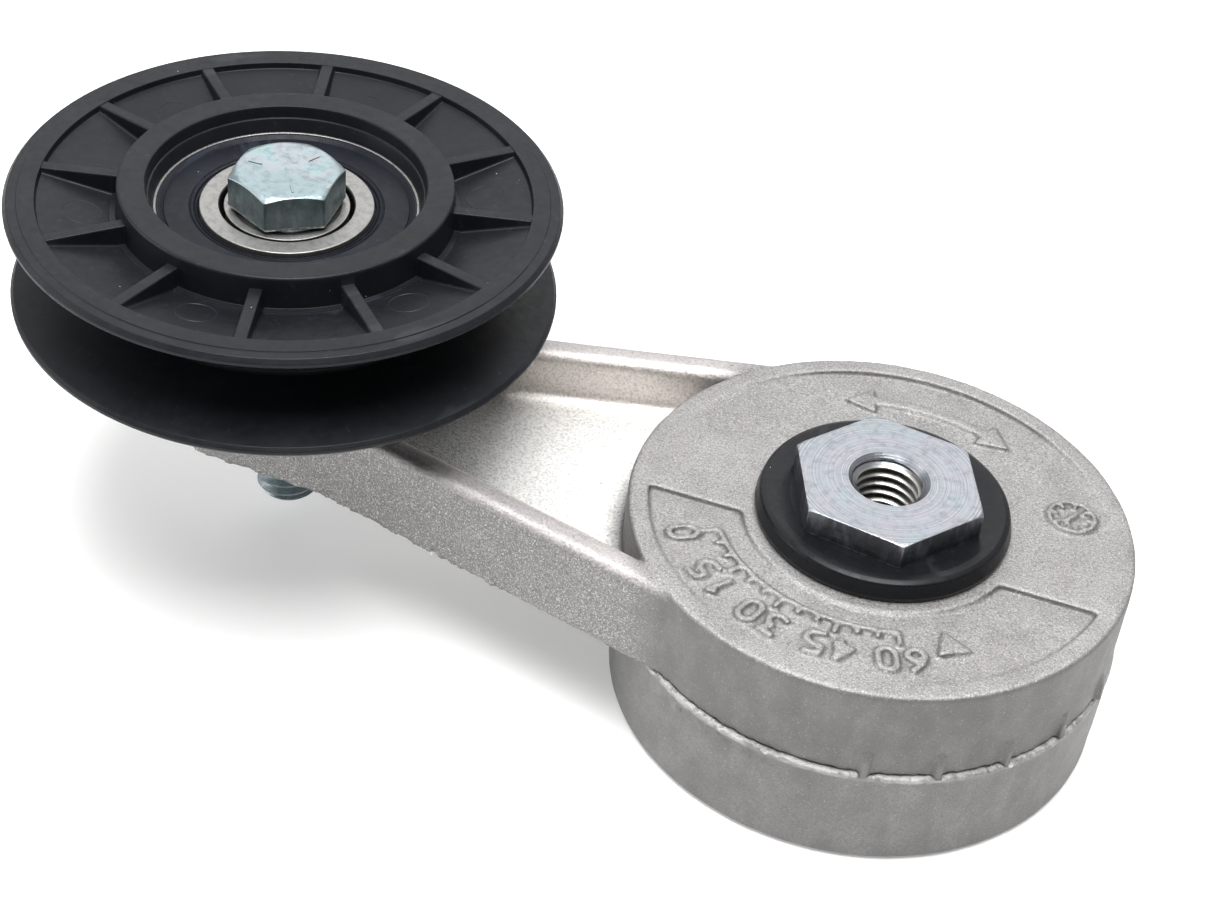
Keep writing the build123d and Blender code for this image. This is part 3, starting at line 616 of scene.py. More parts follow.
def cast_skin(node, extra, voxel, triangles, wave):
    """A casting: the CAD solid and its raised marks melted into one skin with soft edges."""
    solid = loose(NODES[node].data.copy())
    weld = solid.modifiers.new("weld", "WELD")
    weld.merge_threshold = 1e-6
    melted = loose(joined_mesh([evaluated(solid)] + extra))
    remesh = melted.modifiers.new("remesh", "REMESH")
    remesh.mode = "VOXEL"
    remesh.voxel_size = voxel * MM
    fine = loose(evaluated(melted))
    soften = fine.modifiers.new("soften", "SMOOTH")
    soften.factor = 0.5
    soften.iterations = 2
    clouds = bpy.data.textures.new(node + "_wave", "CLOUDS")
    clouds.noise_scale = 5 * MM
    swell = fine.modifiers.new("swell", "DISPLACE")
    swell.texture = clouds
    swell.strength = wave * MM
    thin = fine.modifiers.new("thin", "DECIMATE")
    thin.ratio = min(1.0, triangles / (2 * len(fine.data.polygons)))
    clean = fine.modifiers.new("clean", "WELD")
    clean.merge_threshold = 0.05 * MM
    skin = evaluated(fine)
    floor_level = low(node).z * MM
    for vertex in skin.vertices:
        vertex.co.z = max(vertex.co.z, floor_level)
    for shape in (solid, melted, fine):
        bpy.data.objects.remove(shape)
    return skin


def loose(mesh):
    """An object for a mesh that is only used while building."""
    shape = bpy.data.objects.new("building", mesh)
    bpy.context.scene.collection.objects.link(shape)
    return shape


def mesh_of(verts, faces):
    """A bare mesh in metres from millimetres."""
    mesh = bpy.data.meshes.new("part")
    mesh.from_pydata([tuple(c * MM for c in v) for v in verts], [], faces)
    return mesh


def joined_mesh(parts):
    """Several meshes as one, without merging anything."""
    verts, faces = [], []
    for mesh in parts:
        start = len(verts)
        verts += [tuple(v.co) for v in mesh.vertices]
        faces += [tuple(i + start for i in p.vertices) for p in mesh.polygons]
    whole = bpy.data.meshes.new("joined")
    whole.from_pydata(verts, [], faces)
    return whole


# ---------------------------------------------------------------- raised marks on the arm's roof

ARM_SURFACE = BVHTree.FromPolygons([v.co for v in NODES["arm"].data.vertices],
                                   [p.vertices for p in NODES["arm"].data.polygons])


def roof_at(x, y):
    """Height of the arm's roof under a point, in millimetres."""
    above = Vector((x, y, ABOVE_ROOF)) * MM
    return ARM_SURFACE.ray_cast(above, Vector((0, 0, -1)))[0].z / MM


def mark(outline, rise=MARK_RISE):
    """A raised mark over a convex outline, following the slope of the roof."""
    count = len(outline)
    heights = [roof_at(x, y) for x, y in outline]
    verts = [(x, y, z - 0.7) for (x, y), z in zip(outline, heights)]
    verts += [(x, y, z + rise) for (x, y), z in zip(outline, heights)]
    faces = [tuple(range(count - 1, -1, -1)), tuple(range(count, 2 * count))]
    faces += [(i, (i + 1) % count, (i + 1) % count + count, i + count) for i in range(count)]
    return mesh_of(verts, outward(verts, faces))


def bar(start, end, width):
    """A raised straight bar between two points."""
    a, b = Vector(start), Vector(end)
    along = (b - a).normalized()
    side = Vector((-along.y, along.x)) * width / 2
    tail = along * width * 0.2
    return mark([tuple(a - tail - side), tuple(b + tail - side), tuple(b + tail + side),
                 tuple(a - tail + side)])


def heading(degrees):
    """A level direction, by its angle."""
    return Vector((*polar(1, degrees), 0))


def sideways(direction):
    """The level direction at right angles to another."""
    return Vector((-direction.y, direction.x, 0))


def polar(size, degrees, centre=(0, 0)):
    """A point from its distance and angle about a centre."""
    angle = math.radians(degrees)
    return (centre[0] + size * math.cos(angle), centre[1] + size * math.sin(angle))


def arc(size, start, end, width, centre=(0, 0), step=4):
    """A raised bar bent along an arc."""
    count = max(2, round(abs(end - start) / step))
    places = [polar(size, start + (end - start) * i / count, centre) for i in range(count + 1)]
    return [bar(a, b, width) for a, b in zip(places, places[1:])]


# Strokes of each numeral, in widths of a digit
DIGITS = {
    "0": [(0, 0.3), (0, 1.4), (0.3, 1.7), (0.7, 1.7), (1, 1.4), (1, 0.3), (0.7, 0), (0.3, 0),
          (0, 0.3)],
    "1": [(0.2, 1.35), (0.55, 1.7), (0.55, 0)],
    "3": [(0.05, 1.7), (1, 1.7), (0.5, 1.0), (0.8, 0.9), (1, 0.65), (1, 0.3), (0.75, 0), (0.3, 0),
          (0, 0.2)],
    "4": [(0.75, 0), (0.75, 1.7), (0, 0.5), (1.05, 0.5)],
    "5": [(0.95, 1.7), (0.08, 1.7), (0, 1.0), (0.65, 1.0), (1, 0.75), (1, 0.3), (0.7, 0), (0, 0)],
    "6": [(0.8, 1.7), (0.25, 1.2), (0, 0.7), (0, 0.3), (0.3, 0), (0.7, 0), (1, 0.3), (1, 0.6),
          (0.75, 0.85), (0.2, 0.8)],
}


def numeral(text, size, degrees):
    """Raised bars for a number whose top points away from the hub."""
    parts = []
    turn = math.radians(degrees - 90)
    right, up = Vector((math.cos(turn), math.sin(turn))), Vector((-math.sin(turn), math.cos(turn)))
    centre = Vector(polar(size, degrees))
    advance = DIGIT_WIDTH + 1.5
    for k, digit in enumerate(text):
        start = (k - len(text) / 2 + 0.5) * advance - DIGIT_WIDTH / 2
        places = [centre + right * (start + x * DIGIT_WIDTH) + up * ((y - 0.85) * DIGIT_WIDTH)
                  for x, y in DIGITS[digit]]
        parts += [bar(a, b, STROKE) for a, b in zip(places, places[1:])]
    return parts


def swing_arrow():
    """A double-headed arrow bent round the hub: the way the arm swings."""
    parts = arc(ARROW_RADIUS, ARROW_START + 9, ARROW_END - 9, 1.7)
    for tip, root in ((ARROW_START, ARROW_START + 10), (ARROW_END, ARROW_END - 10)):
        parts.append(mark([polar(ARROW_RADIUS, tip), polar(ARROW_RADIUS + 2.8, root),
                           polar(ARROW_RADIUS - 2.8, root)]))
    return parts


def swing_scale():
    """A scale of ticks and numbers for the swing, with a pointer at its end."""
    parts = []
    for i in range(SCALE_STEPS + 1):
        angle = SCALE_START + i * SCALE_PITCH
        long_tick = i % 3 == 0
        parts.append(bar(polar(SCALE_RADIUS, angle),
                         polar(SCALE_RADIUS + (2.3 if long_tick else 1.3), angle), 0.75))
        if long_tick:
            parts += numeral(str(5 * i), SCALE_RADIUS + 5.1, angle)
    parts += arc(SCALE_RADIUS, SCALE_START, SCALE_START + SCALE_STEPS * SCALE_PITCH, 0.75)
    pointer = SCALE_START + SCALE_STEPS * SCALE_PITCH + 15
    parts.append(mark([polar(SCALE_RADIUS, pointer), polar(SCALE_RADIUS + 4.5, pointer - 5),
                       polar(SCALE_RADIUS + 4.5, pointer + 5)]))
    return parts


def date_dial():
    """The small dial that founders use to date a casting: ring, ticks and arrow, no letters."""
    parts = arc(3.2, 0, 360, 0.6, DIAL_CENTRE, 15)
    for i in range(8):
        parts.append(bar(polar(2.0, 45 * i, DIAL_CENTRE), polar(2.8, 45 * i, DIAL_CENTRE), 0.5))
    parts.append(bar(polar(-1.2, 60, DIAL_CENTRE), polar(1.2, 60, DIAL_CENTRE), 0.7))
    return parts


def skirt_tabs():
    """Small upright tabs on the skirt's lower edge, deepest at their foot."""
    parts = []
    for i in range(TAB_COUNT):
        out = heading(TAB_START + i * TAB_PITCH)
        side = sideways(out)
        verts = []
        for z, reach in TAB_LEVELS:
            for depth, half in ((TAB_ROOT, TAB_ROOT_HALF), (reach, TAB_FACE_HALF)):
                for sign in (-1, 1):
                    verts.append(tuple(out * (SKIRT_RADIUS + depth) + side * sign * half + UP * z))
        faces = [(0, 1, 3, 2), (8, 10, 11, 9)]
        for k in (0, 4):
            faces += [(k, k + 4, k + 5, k + 1), (k + 1, k + 5, k + 7, k + 3),
                      (k + 3, k + 7, k + 6, k + 2), (k + 2, k + 6, k + 4, k)]
        parts.append(mesh_of(verts, outward(verts, faces)))
    return parts


def ragged(mesh, level, reach, push, size, start, end, seed, lift=0.0):
    """Flash where the mould's halves met: the skin near one height is pushed out unevenly."""
    shift = Vector((seed, 2 * seed, 3 * seed))
    outs = [Vector((v.normal.x, v.normal.y, 0)) for v in mesh.vertices]
    for vertex, out in zip(mesh.vertices, outs):
        place = vertex.co / MM
        near = 1 - abs(place.z - level) / reach
        if near <= 0:
            continue
        angle = math.degrees(math.atan2(place.y, place.x))
        fade = min(1, (angle - start) / 8, (end - angle) / 8)
        if fade > 0:
            rough = noise.noise(place * 1.1 + shift) + 0.6 * noise.noise(place * 2.9 + shift)
            vertex.co += (out + UP * lift) * (push + rough * size) * near * fade * MM


def castings():
    """The arm and the base, each with the marks and flash of its mould."""
    marks = swing_arrow() + swing_scale() + date_dial() + skirt_tabs()
    skin = cast_skin("arm", marks, 0.28, 180000, 0.10)
    ragged(skin, SKIRT_BOTTOM, 0.9, 0.0, 0.25, -180, 180, 3.0)
    ragged(skin, SKIRT_BOTTOM, 1.0, 0.05, 0.65, -180, -150, 5.0)
    placed(skin, "arm_casting", "arm", "cast_arm", ("arm",), 70)
    ledge = cast_skin("base", [], 0.30, 110000, 0.10)
    ragged(ledge, LEDGE, 1.0, 0.45, 0.60, -152, -12, 7.0, 0.3)
    ragged(ledge, LEDGE - 2.0, 0.9, 0.0, 0.50, -128, -88, 9.0)
    placed(ledge, "base_casting", "base", "cast_base", ("base",), 70)


# ---------------------------------------------------------------- hexagons and threads

def hexagon(flats, clocking, corner, per_side=10):
    """Outline of a hexagon with rounded corners, its last point repeating the first."""
    points = []
    for i in range(6):
        angle = clocking + 60 * i
        size = flats / 2 / math.cos(math.pi / 6)
        points.append(polar(size, angle))
    soft = rounded(points, corner, 6)
    outline = []
    for a, b in zip(soft, soft[1:] + soft[:1]):
        a, b = Vector(a), Vector(b)
        steps = max(1, round((b - a).length / (flats / 2 / per_side)))
        outline += [a.lerp(b, k / steps) for k in range(steps)]
    return outline + [outline[0]]


def row_point(centre, p, size, z):
    """A point of an outline, moved to a distance from the axis and a height."""
    return (centre[0] + p.x * size / p.length, centre[1] + p.y * size / p.length, z)


def hex_rows(outline, centre, bottom, top, flat_radius, foot, flare=0.0, soft=0.15):
    """Rows of a hexagon with a chamfer cone on top, from its top flat down to its bottom edge."""
    slope = math.tan(math.radians(CHAMFER_DEGREES))

    def row(inset, drop, largest=1000.0):
        """One loop round the top, inset from the sides and dropped under the chamfer cone."""
        loop = []
        for p in outline:
            size = min(p.length - inset, largest)
            z = top - max(0, size - flat_radius) * slope - drop
            loop.append(row_point(centre, p, size, z))
        return loop

    def lower(inset, rise):
        """One loop round the flat bottom."""
        return [row_point(centre, p, p.length - inset, bottom + rise) for p in outline]

    return [row(3 * soft, 0, flat_radius - 0.4), row(1.5 * soft, 0, flat_radius), row(soft, 0),
            row(0.3 * soft, 0.3 * soft), row(0, soft), lower(0, foot + 0.3), lower(-flare, foot),
            lower(0.3 * foot, 0.25 * foot), lower(foot, 0)]


def circle_row(outline, centre, size, z):
    """A round row with one point for each point of the outline."""
    return [row_point(centre, p, size, z) for p in outline]


def thread_rows(outline, centre, bottom, top, pitch, shape, per_turn=12):
    """Rows that climb with a thread from bottom to top. shape gives the radius there."""
    rows = []
    count = round((top - bottom) / pitch * per_turn) + 2 * per_turn
    start = math.atan2(outline[0].y, outline[0].x)
    for k in range(count + 1):
        row = []
        for i, p in enumerate(outline):
            angle = (math.atan2(p.y, p.x) - start) % (2 * math.pi)
            if i == len(outline) - 1:
                angle = 2 * math.pi
            climb = (k / per_turn - 1 + angle / (2 * math.pi)) * pitch
            z = min(max(bottom + climb, bottom), top)
            size = shape(z, (k / per_turn) % 1)
            row.append(row_point(centre, p, size, z))
        rows.append(row)
    return rows


def stacked(name, rows, body, slot, node):
    """A piece from rows of points that each go once round, merged where they meet."""
    count = len(rows[0])
    verts = [rows[k][i] for i in range(count) for k in range(len(rows))]
    mesh = mesh_of(verts, grid_faces(count, len(rows), False, False))
    work = bmesh.new()
    work.from_mesh(mesh)
    bmesh.ops.remove_doubles(work, verts=work.verts, dist=0.0004 * MM)
    bmesh.ops.dissolve_degenerate(work, edges=work.edges, dist=0.0004 * MM)
    bmesh.ops.recalc_face_normals(work, faces=work.faces)
    work.to_mesh(mesh)
    work.free()
    placed(mesh, name, body, slot, (node,), 32)


def wave_of(phase, crest, root, crest_share=0.16, root_share=0.20):
    """Radius of a thread at a place in its turn: flat crest, straight flanks, flat root."""
    x = abs(2 * phase - 1)
    t = min(1, max(0, (x - crest_share) / (1 - crest_share - root_share)))
    return crest + (root - crest) * t


def hub():
    """The plated hexagon on its shaft, bored and threaded right through."""
    top, head_bottom = HUB_TOP, HUB_TOP - HUB_HEX_HEIGHT
    outline = hexagon(HUB_FLATS, HUB_CLOCKING, 0.35)

    def bore(z, phase):
        cone = max(HUB_MOUTH + z - top, HUB_MOUTH - z)
        return max(wave_of(phase, HUB_MINOR, HUB_MAJOR), cone)

    centre = HUB_AXIS
    rows = thread_rows(outline, centre, 0, top, HUB_PITCH, bore)
    rows.append(circle_row(outline, centre, HUB_MOUTH + 0.12, top))
    rows += [circle_row(outline, centre, HUB_MOUTH + (HUB_FLATS / 2 - HUB_MOUTH) * t, top)
             for t in (0.3, 0.6, 0.85)]
    rows += hex_rows(outline, centre, head_bottom, top, 13.2, 0.15)
    shaft, foot = HUB_SHAFT, HUB_SHAFT - 1
    for size, z in ((shaft, head_bottom), (shaft, BASE_BOSS), (foot, BASE_BOSS), (foot, 2.8),
                    (foot - 0.8, 2.8), (foot - 0.8, 1.6), (foot, 1.6), (foot, 0.3),
                    (foot - 0.3, 0), (HUB_MOUTH, 0)):
        rows.append(circle_row(outline, centre, size, z))
    stacked("hub", rows, "base", "zinc_hub", "hub_shaft")


def bolt():
    """The idler bolt: chamfered head with three grade lines, washer face, shank and thread."""
    centre, head_bottom = PULLEY_AXIS, BOLT_TOP - BOLT_HEAD
    top = BOLT_TOP - LINE_RISE
    outline = hexagon(BOLT_FLATS, BOLT_CLOCKING, 0.45)
    seat = head_bottom - BOLT_FACE
    thread_top = BOLT_TIP + BOLT_THREAD

    def shank(z, phase):
        runout = BOLT_MINOR + max(0, z - (thread_top - 1.2))
        tip = BOLT_RADIUS - 1.0 + (z - BOLT_TIP)
        return min(max(wave_of(phase, BOLT_RADIUS, BOLT_MINOR), min(runout, BOLT_RADIUS)), tip)

    rows = [circle_row(outline, centre, size, top - dip)
            for size, dip in ((0.001, 0.10), (1.5, 0.09), (3.0, 0.06), (4.6, 0.02), (5.6, 0.0))]
    rows += hex_rows(outline, centre, head_bottom, top, 6.9, 0.45, 0.12)
    for size, z in ((6.6, head_bottom), (6.6, seat + 0.1), (6.5, seat), (BOLT_RADIUS + 0.3, seat),
                    (BOLT_RADIUS, seat - 0.3), (BOLT_RADIUS, thread_top + 0.01)):
        rows.append(circle_row(outline, centre, size, z))
    rows += thread_rows(outline, centre, BOLT_TIP, thread_top, BOLT_PITCH, shank)[::-1]
    rows.append(circle_row(outline, centre, 0.001, BOLT_TIP))
    stacked("idler_bolt_detailed", rows, "arm", "zinc_bolt", "idler_bolt")
    grade_lines()


def grade_lines():
    """Three short raised lines, a third of a turn apart, that grade the bolt."""
    parts = []
    for i in range(3):
        along = heading(BOLT_CLOCKING + 30 + 120 * i)
        side = sideways(along) * LINE_HALF
        start = Vector((*PULLEY_AXIS, BOLT_TOP - LINE_RISE - 0.15)) + along * LINE_START
        end = start + along * LINE_LENGTH
        up = UP * (LINE_RISE + 0.15)
        lower = [start - side, end - side, end + side, start + side]
        upper = [start - side * 0.55 + up + along * 0.1, end - side * 0.55 + up - along * 0.1,
                 end + side * 0.55 + up - along * 0.1, start + side * 0.55 + up + along * 0.1]
        faces = [(3, 2, 1, 0), (4, 5, 6, 7)]
        faces += [(k, (k + 1) % 4, (k + 1) % 4 + 4, k + 4) for k in range(4)]
        parts.append(mesh_of([tuple(p) for p in lower + upper], faces))
    placed(joined_mesh(parts), "bolt_grade_lines", "arm", "zinc_bolt")


# ---------------------------------------------------------------- pulley

def pulley_section():
    """Upper half of the pulley's section, as (radius, height over the mid plane)."""
    rim = PULLEY_RADIUS
    return [
        ((BEARING_RADIUS, 6.0), 0), ((SEAT_LIP, 6.0), 0.05), ((MOUTH - 0.45, 7.9), 0.15),
        ((MOUTH - 0.22, 7.95), 0.05), ((MOUTH, RING_HALF), 0.30), ((RING_RADIUS, RING_HALF), 0.45),
        ((RING_RADIUS + 0.3, 5.12), 0.12), ((RING_RADIUS + 1.15, 5.12), 0.03),
        ((POCKET_START, POCKET_FLOOR), 0.03), ((POCKET_RADIUS - 0.05, 7.2), 0.25),
        ((POCKET_RADIUS + 0.08, FLANGE_HALF), 0.12), ((36.2, FLANGE_HALF), 0.03),
        ((36.3, FLANGE_HALF - 0.13), 0.03), ((rim - 0.55, FLANGE_HALF - 0.13), 0.25),
        ((rim, FLANGE_HALF - 0.75), 0.25), ((rim, FLANGE_HALF - 1.2), 0.2),
        ((rim - 0.45, FLANGE_HALF - 1.65), 0.25), ((GROOVE_ROOT + 0.3, 3.15), 0.3),
        ((GROOVE_ROOT, 2.85), 0.2),
    ]


def rib_height(across, floor):
    """Height of a rib's surface at a distance across from its middle plane."""
    for (d0, drop0), (d1, drop1) in zip(RIB_CREST, RIB_CREST[1:]):
        if across <= d1:
            return RIB_TOP - drop0 - (drop1 - drop0) * (across - d0) / (d1 - d0)
    edge, drop = RIB_CREST[-1]
    wall_top, wall_foot = RIB_TOP - drop, floor + RIB_FILLET
    if across < RIB_WALL:
        return wall_top + (wall_foot - wall_top) * (across - edge) / (RIB_WALL - edge)
    if across < RIB_REACH:
        return floor + RIB_FILLET * ((RIB_REACH - across) / (RIB_REACH - RIB_WALL)) ** 2
    return -1


def pocket_floor(r):
    """Height of a pocket's sloping floor over the mid plane."""
    return max(POCKET_FLOOR + (r - POCKET_START) * FLOOR_SLOPE, POCKET_FLOOR)


def pulley():
    """The moulded pulley: one closed skin with twelve ribs on each side."""
    section = pulley_section()
    outline = [p for p, _ in section] + [(r, -h) for (r, h), _ in reversed(section)]
    sizes = [s for _, s in section] + [s for _, s in reversed(section)]
    profile = divided(rounded(outline, sizes, 4), 0.9)
    half = [across for across, _ in RIB_CREST[1:]] + [RIB_WALL, 1.05, 1.15, 1.3]
    offsets = [-across for across in reversed(half)] + [0] + half
    between = 9
    columns = []
    for sector in range(PULLEY_RIBS):
        middle = math.radians(15 + sector * 360 / PULLEY_RIBS)
        columns += [(middle, d, None) for d in offsets]
        columns += [(middle, None, (k + 1) / (between + 1)) for k in range(between)]
    step = 2 * math.pi / PULLEY_RIBS
    verts = []
    for middle, across, share in columns:
        for r, h in profile:
            edge = math.asin(offsets[-1] / r)
            if across is not None:
                angle = middle + math.asin(across / r)
            else:
                angle = middle + edge + share * (step - 2 * edge)
            floor = pocket_floor(r)
            in_pocket = RING_RADIUS - 0.02 <= r <= POCKET_RADIUS + 0.1
            if across is not None and in_pocket and floor - 0.3 < abs(h) < RIB_TOP:
                h = math.copysign(max(abs(h), rib_height(abs(across), floor)), h)
            verts.append((PULLEY.x + r * math.cos(angle), PULLEY.y + r * math.sin(angle),
                          PULLEY.z + h))
    faces = grid_faces(len(columns), len(profile), True, True)
    piece("pulley_moulding", verts, outward(verts, faces), "pulley", "pulley_nylon",
          ("pulley",), 40)
    ejector_marks()


def divided(outline, longest):
    """A closed outline with extra points where its runs are longer than longest."""
    points = []
    for a, b in zip(outline, outline[1:] + outline[:1]):
        a, b = Vector(a), Vector(b)
        steps = max(1, math.ceil((b - a).length / longest))
        points += [tuple(a.lerp(b, k / steps)) for k in range(steps)]
    return points


def ejector_marks():
    """Faint raised circles where the ejector pins pushed, in every other pocket."""
    parts = []
    tilt = math.atan(FLOOR_SLOPE)
    for side in (1, -1):
        for i in range(6):
            out = heading(30 + 60 * i)
            across = sideways(out)
            along = out * math.cos(tilt) + UP * side * math.sin(tilt)
            normal = UP * side * math.cos(tilt) - out * math.sin(tilt)
            middle = PULLEY + out * EJECTOR_PLACE + UP * side * pocket_floor(EJECTOR_PLACE)
            section = [(EJECTOR_RADIUS - 0.16, -0.05), (EJECTOR_RADIUS - 0.04, 0.055),
                       (EJECTOR_RADIUS + 0.04, 0.055), (EJECTOR_RADIUS + 0.16, -0.05)]
            verts, faces = turned(section, (0, 0), 48)
            verts = [tuple(middle + along * x + across * y + normal * z) for x, y, z in verts]
            parts.append(mesh_of(verts, outward(verts, faces)))
    placed(joined_mesh(parts), "pulley_ejector_marks", "pulley", "pulley_nylon")


# ---------------------------------------------------------------- bearing, bushing, washer, spring

def bearing():
    """Rings and seals of the sealed ball bearing, each turned from its own section."""
    axis = PULLEY_AXIS
    half = (high("bearing_inner_ring").z - low("bearing_inner_ring").z) / 2
    top, bottom = PULLEY.z + half, PULLEY.z - half
    inner = radius("bearing_inner_ring")
    outer = radius("bearing_outer_ring")
    seat = radius("bearing_seal_upper")
    track = [(12.0, -2.9), (11.25, -1.6), (10.9, 0), (11.25, 1.6), (12.0, 2.9)]
    groove = [(outer - 3.5, 2.9), (outer - 2.75, 1.6), (outer - 2.4, 0), (outer - 2.75, -1.6),
              (outer - 3.5, -2.9)]
    ring_piece("bearing_ring_inner",
               [(8.5, bottom + 2.2), (9.4, bottom), (inner, bottom)]
               + [(r, PULLEY.z + h) for r, h in track]
               + [(inner, top), (9.4, top), (8.5, top - 2.2)],
               [0.2, 0.12, 0.2, 0, 0.5, 0.5, 0.5, 0, 0.2, 0.12, 0.2], axis, "arm", "bearing_steel",
               "bearing_inner_ring")
    ring_piece("bearing_ring_outer",
               [(outer, bottom), (outer, top), (seat + 0.5, top), (seat, top - 0.4),
                (seat, top - 1.3), (outer - 3.5, top - 1.4)]
               + [(r, PULLEY.z + h) for r, h in groove]
               + [(outer - 3.5, bottom + 1.4), (seat, bottom + 1.3), (seat, bottom + 0.4),
                   (seat + 0.5, bottom)],
               [0.5, 0.5, 0.1, 0.1, 0, 0, 0, 0.5, 0.5, 0.5, 0, 0, 0, 0.1, 0.1], axis, "pulley",
               "bearing_steel", "bearing_outer_ring")
    for name, node, side in (("seal_upper_detailed", "bearing_seal_upper", 1),
                             ("seal_lower_detailed", "bearing_seal_lower", -1)):
        section = [(inner + 0.22, 4.9), (inner + 0.22, 5.35), (inner + 0.45, 5.50),
                   (inner + 0.62, 5.15), (inner + 0.80, 5.52), (inner + 1.05, 5.64),
                   (inner + 1.22, 5.40), (inner + 1.42, 5.64), (seat - 0.65, 5.66),
                   (seat - 0.50, 5.48), (seat - 0.22, 5.70), (seat + 0.14, 5.90),
                   (seat + 0.42, 5.98), (seat + 0.40, 5.94), (seat, 5.64), (seat - 0.02, 4.75),
                   (seat - 0.9, 4.65), (inner + 0.6, 4.65)]
        ring_piece(name, [(r, PULLEY.z + side * h) for r, h in section], 0.07, axis, "pulley",
                   "seal_rubber", node)


def idler_bushing():
    """The steel bushing in the bearing's bore, with a rounded lip round its dished end."""
    bottom, top = low("idler_bushing").z, high("idler_bushing").z
    outer = radius("idler_bushing")
    ring_piece("bushing_dished",
               [(BOLT_RADIUS + 0.12, bottom), (outer, bottom), (outer, top - 0.6),
                (outer + 0.15, top - 0.3), (outer + 0.15, top), (outer - 1.0, top),
                (outer - 1.5, top - BUSHING_DISH), (BOLT_RADIUS + 0.12, top - BUSHING_DISH)],
               [0.1, 0.3, 0.1, 0.1, 0.15, 0.3, 0.2, 0.1], PULLEY_AXIS, "arm", "bushing_steel",
               "idler_bushing")


def thrust_washer():
    """The dished black washer: a flat middle and a soft raised rim."""
    bottom, top = low("thrust_washer").z, high("thrust_washer").z
    edge, bore = radius("thrust_washer"), HUB_SHAFT + 0.3
    ring_piece("washer_dished",
               [(bore, bottom), (edge - 0.25, bottom), (edge, bottom + 0.9),
                (edge - 0.5, top - 0.3), (edge - 1.3, top), (edge - 2.3, top - 0.06),
                (edge - 4.6, top - 0.42), (bore, top - 0.5)],
               [0.1, 0.2, 0.5, 0.6, 0.7, 1.2, 1.2, 0.1], HUB_AXIS, "base", "black_nylon",
               "thrust_washer")


def torsion_spring():
    """The coil between base and arm. It rides on no body."""
    bottom, top = low("torsion_spring").z, high("torsion_spring").z
    size = radius("torsion_spring") - WIRE / 2
    steps, around = 400, 20
    climb = top - bottom - WIRE
    path = []
    for i in range(steps + 1):
        turn = -2 * math.pi * COIL_TURNS * i / steps
        path.append(Vector((size * math.cos(turn), size * math.sin(turn),
                            bottom + WIRE / 2 + climb * i / steps)))
    verts, faces = [], []
    for i, p in enumerate(path):
        ahead = (path[min(i + 1, steps)] - path[max(i - 1, 0)]).normalized()
        out = Vector((p.x, p.y, 0)).normalized()
        up = ahead.cross(out).normalized()
        shrink = 0.92 if i in (0, steps) else 1
        for k in range(around):
            angle = 2 * math.pi * k / around
            reach = out * math.cos(angle) + up * math.sin(angle)
            verts.append(tuple(p + reach * WIRE / 2 * shrink))
    for i in range(steps):
        for k in range(around):
            a, b = i * around + k, i * around + (k + 1) % around
            faces.append((a, b, b + around, a + around))
    faces.append(tuple(range(around)))
    faces.append(tuple(steps * around + k for k in reversed(range(around))))
    spring = piece("spring_coil", verts, outward(verts, faces), None, "spring_steel",
                   ("torsion_spring",), 50)
    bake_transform(spring)


def kept_nodes():
    """The CAD nodes that stay: bushings, washer, rings, balls and cage, with full materials."""
    slots = {row["node"]: row["material_slot"] for row in frame["record"]["subparts"]}
    for node, shape in NODES.items():
        if not shape.hide_render:
            for place in shape.material_slots:
                place.material = MATERIALS[slots[node]]


# ---------------------------------------------------------------- floor, light and camera

def floor():
    """A wide pale sweep under the object."""
    corners = ((-1, -1), (1, -1), (1, 1), (-1, 1))
    mesh = mesh_of([(x * FLOOR_REACH, y * FLOOR_REACH, -FLOOR_GAP) for x, y in corners],
                   [(0, 1, 2, 3)])
    mesh.materials.append(pale_floor("pale_floor"))
    ground = bpy.data.objects.new("floor", mesh)
    bpy.context.scene.collection.objects.link(ground)


def away_from(azimuth, elevation):
    """The direction from the object to a camera or a light, by its angles in degrees."""
    a, e = math.radians(azimuth), math.radians(elevation)
    return Vector((math.sin(a) * math.cos(e), -math.cos(a) * math.cos(e), math.sin(e)))


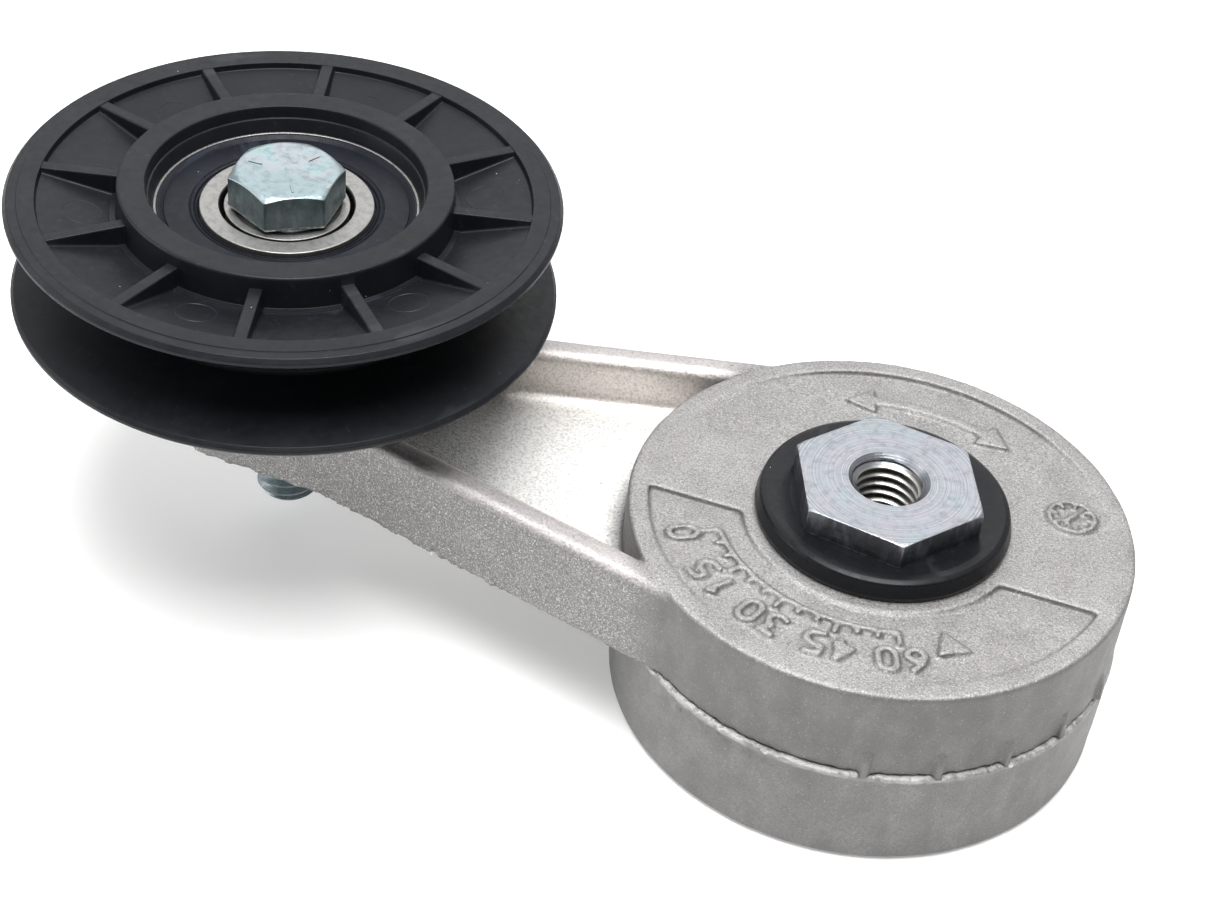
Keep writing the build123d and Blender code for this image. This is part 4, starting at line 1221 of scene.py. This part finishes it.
def softbox(name, azimuth, elevation, distance, width, height, power):
    """A soft light that faces the middle of the object."""
    centre = (CAD_BOX[0] + CAD_BOX[1]) / 2
    away = away_from(azimuth, elevation)
    lamp = bpy.data.lights.new(name, "AREA")
    lamp.shape = "RECTANGLE"
    lamp.size, lamp.size_y, lamp.energy = width, height, power
    stand = bpy.data.objects.new(name, lamp)
    stand.location = centre + away * distance
    stand.rotation_mode = "QUATERNION"
    stand.rotation_quaternion = away.to_track_quat("Z", "Y")
    bpy.context.scene.collection.objects.link(stand)


def lighting():
    """White surroundings, brighter above and behind, and large soft lights."""
    world = bpy.data.worlds.new("studio")
    world.use_nodes = True
    tree = world.node_tree
    ground = tree.nodes["Background"]
    place = tree.nodes.new("ShaderNodeTexCoord")
    back = tree.nodes.new("ShaderNodeMapRange")
    for key, number in (("From Min", WORLD_FROM), ("From Max", WORLD_TO),
                        ("To Min", WORLD_FRONT), ("To Max", WORLD_BACK)):
        back.inputs[key].default_value = number
    lean = tree.nodes.new("ShaderNodeVectorMath")
    lean.operation = "DOT_PRODUCT"
    lean.inputs[1].default_value = LIGHT_SIDE
    tree.links.new(place.outputs["Generated"], lean.inputs[0])
    tree.links.new(lean.outputs["Value"], back.inputs["Value"])
    tree.links.new(back.outputs["Result"], ground.inputs["Strength"])
    ground.inputs["Color"].default_value = (1, 1, 1, 1)
    bpy.context.scene.world = world
    for light in SOFTBOXES:
        softbox(*light)


def camera():
    """A long lens, from above and in front, rolled a little."""
    data = bpy.data.cameras.new("camera")
    data.sensor_width = 36
    data.lens = LENS
    back = away_from(CAMERA_AZIMUTH, CAMERA_ELEVATION)
    right = heading(CAMERA_AZIMUTH)
    roll = math.radians(CAMERA_ROLL)
    up = back.cross(right)
    rolled_right = right * math.cos(roll) + up * math.sin(roll)
    rolled_up = up * math.cos(roll) - right * math.sin(roll)
    target = Vector((LOOK_ALONG_ARM * PULLEY.x, LOOK_BEHIND, 0))
    place = Matrix((rolled_right, rolled_up, back)).transposed().to_4x4()
    place.translation = (target + back * CAMERA_DISTANCE) * MM
    view = bpy.data.objects.new("camera", data)
    view.matrix_world = place
    data.clip_start, data.clip_end = 0.01, 20
    bpy.context.scene.collection.objects.link(view)
    bpy.context.scene.camera = view
    bpy.context.scene.view_settings.view_transform = "Standard"


castings()
hub()
bolt()
pulley()
bearing()
idler_bushing()
thrust_washer()
torsion_spring()
kept_nodes()
floor()
lighting()
camera()
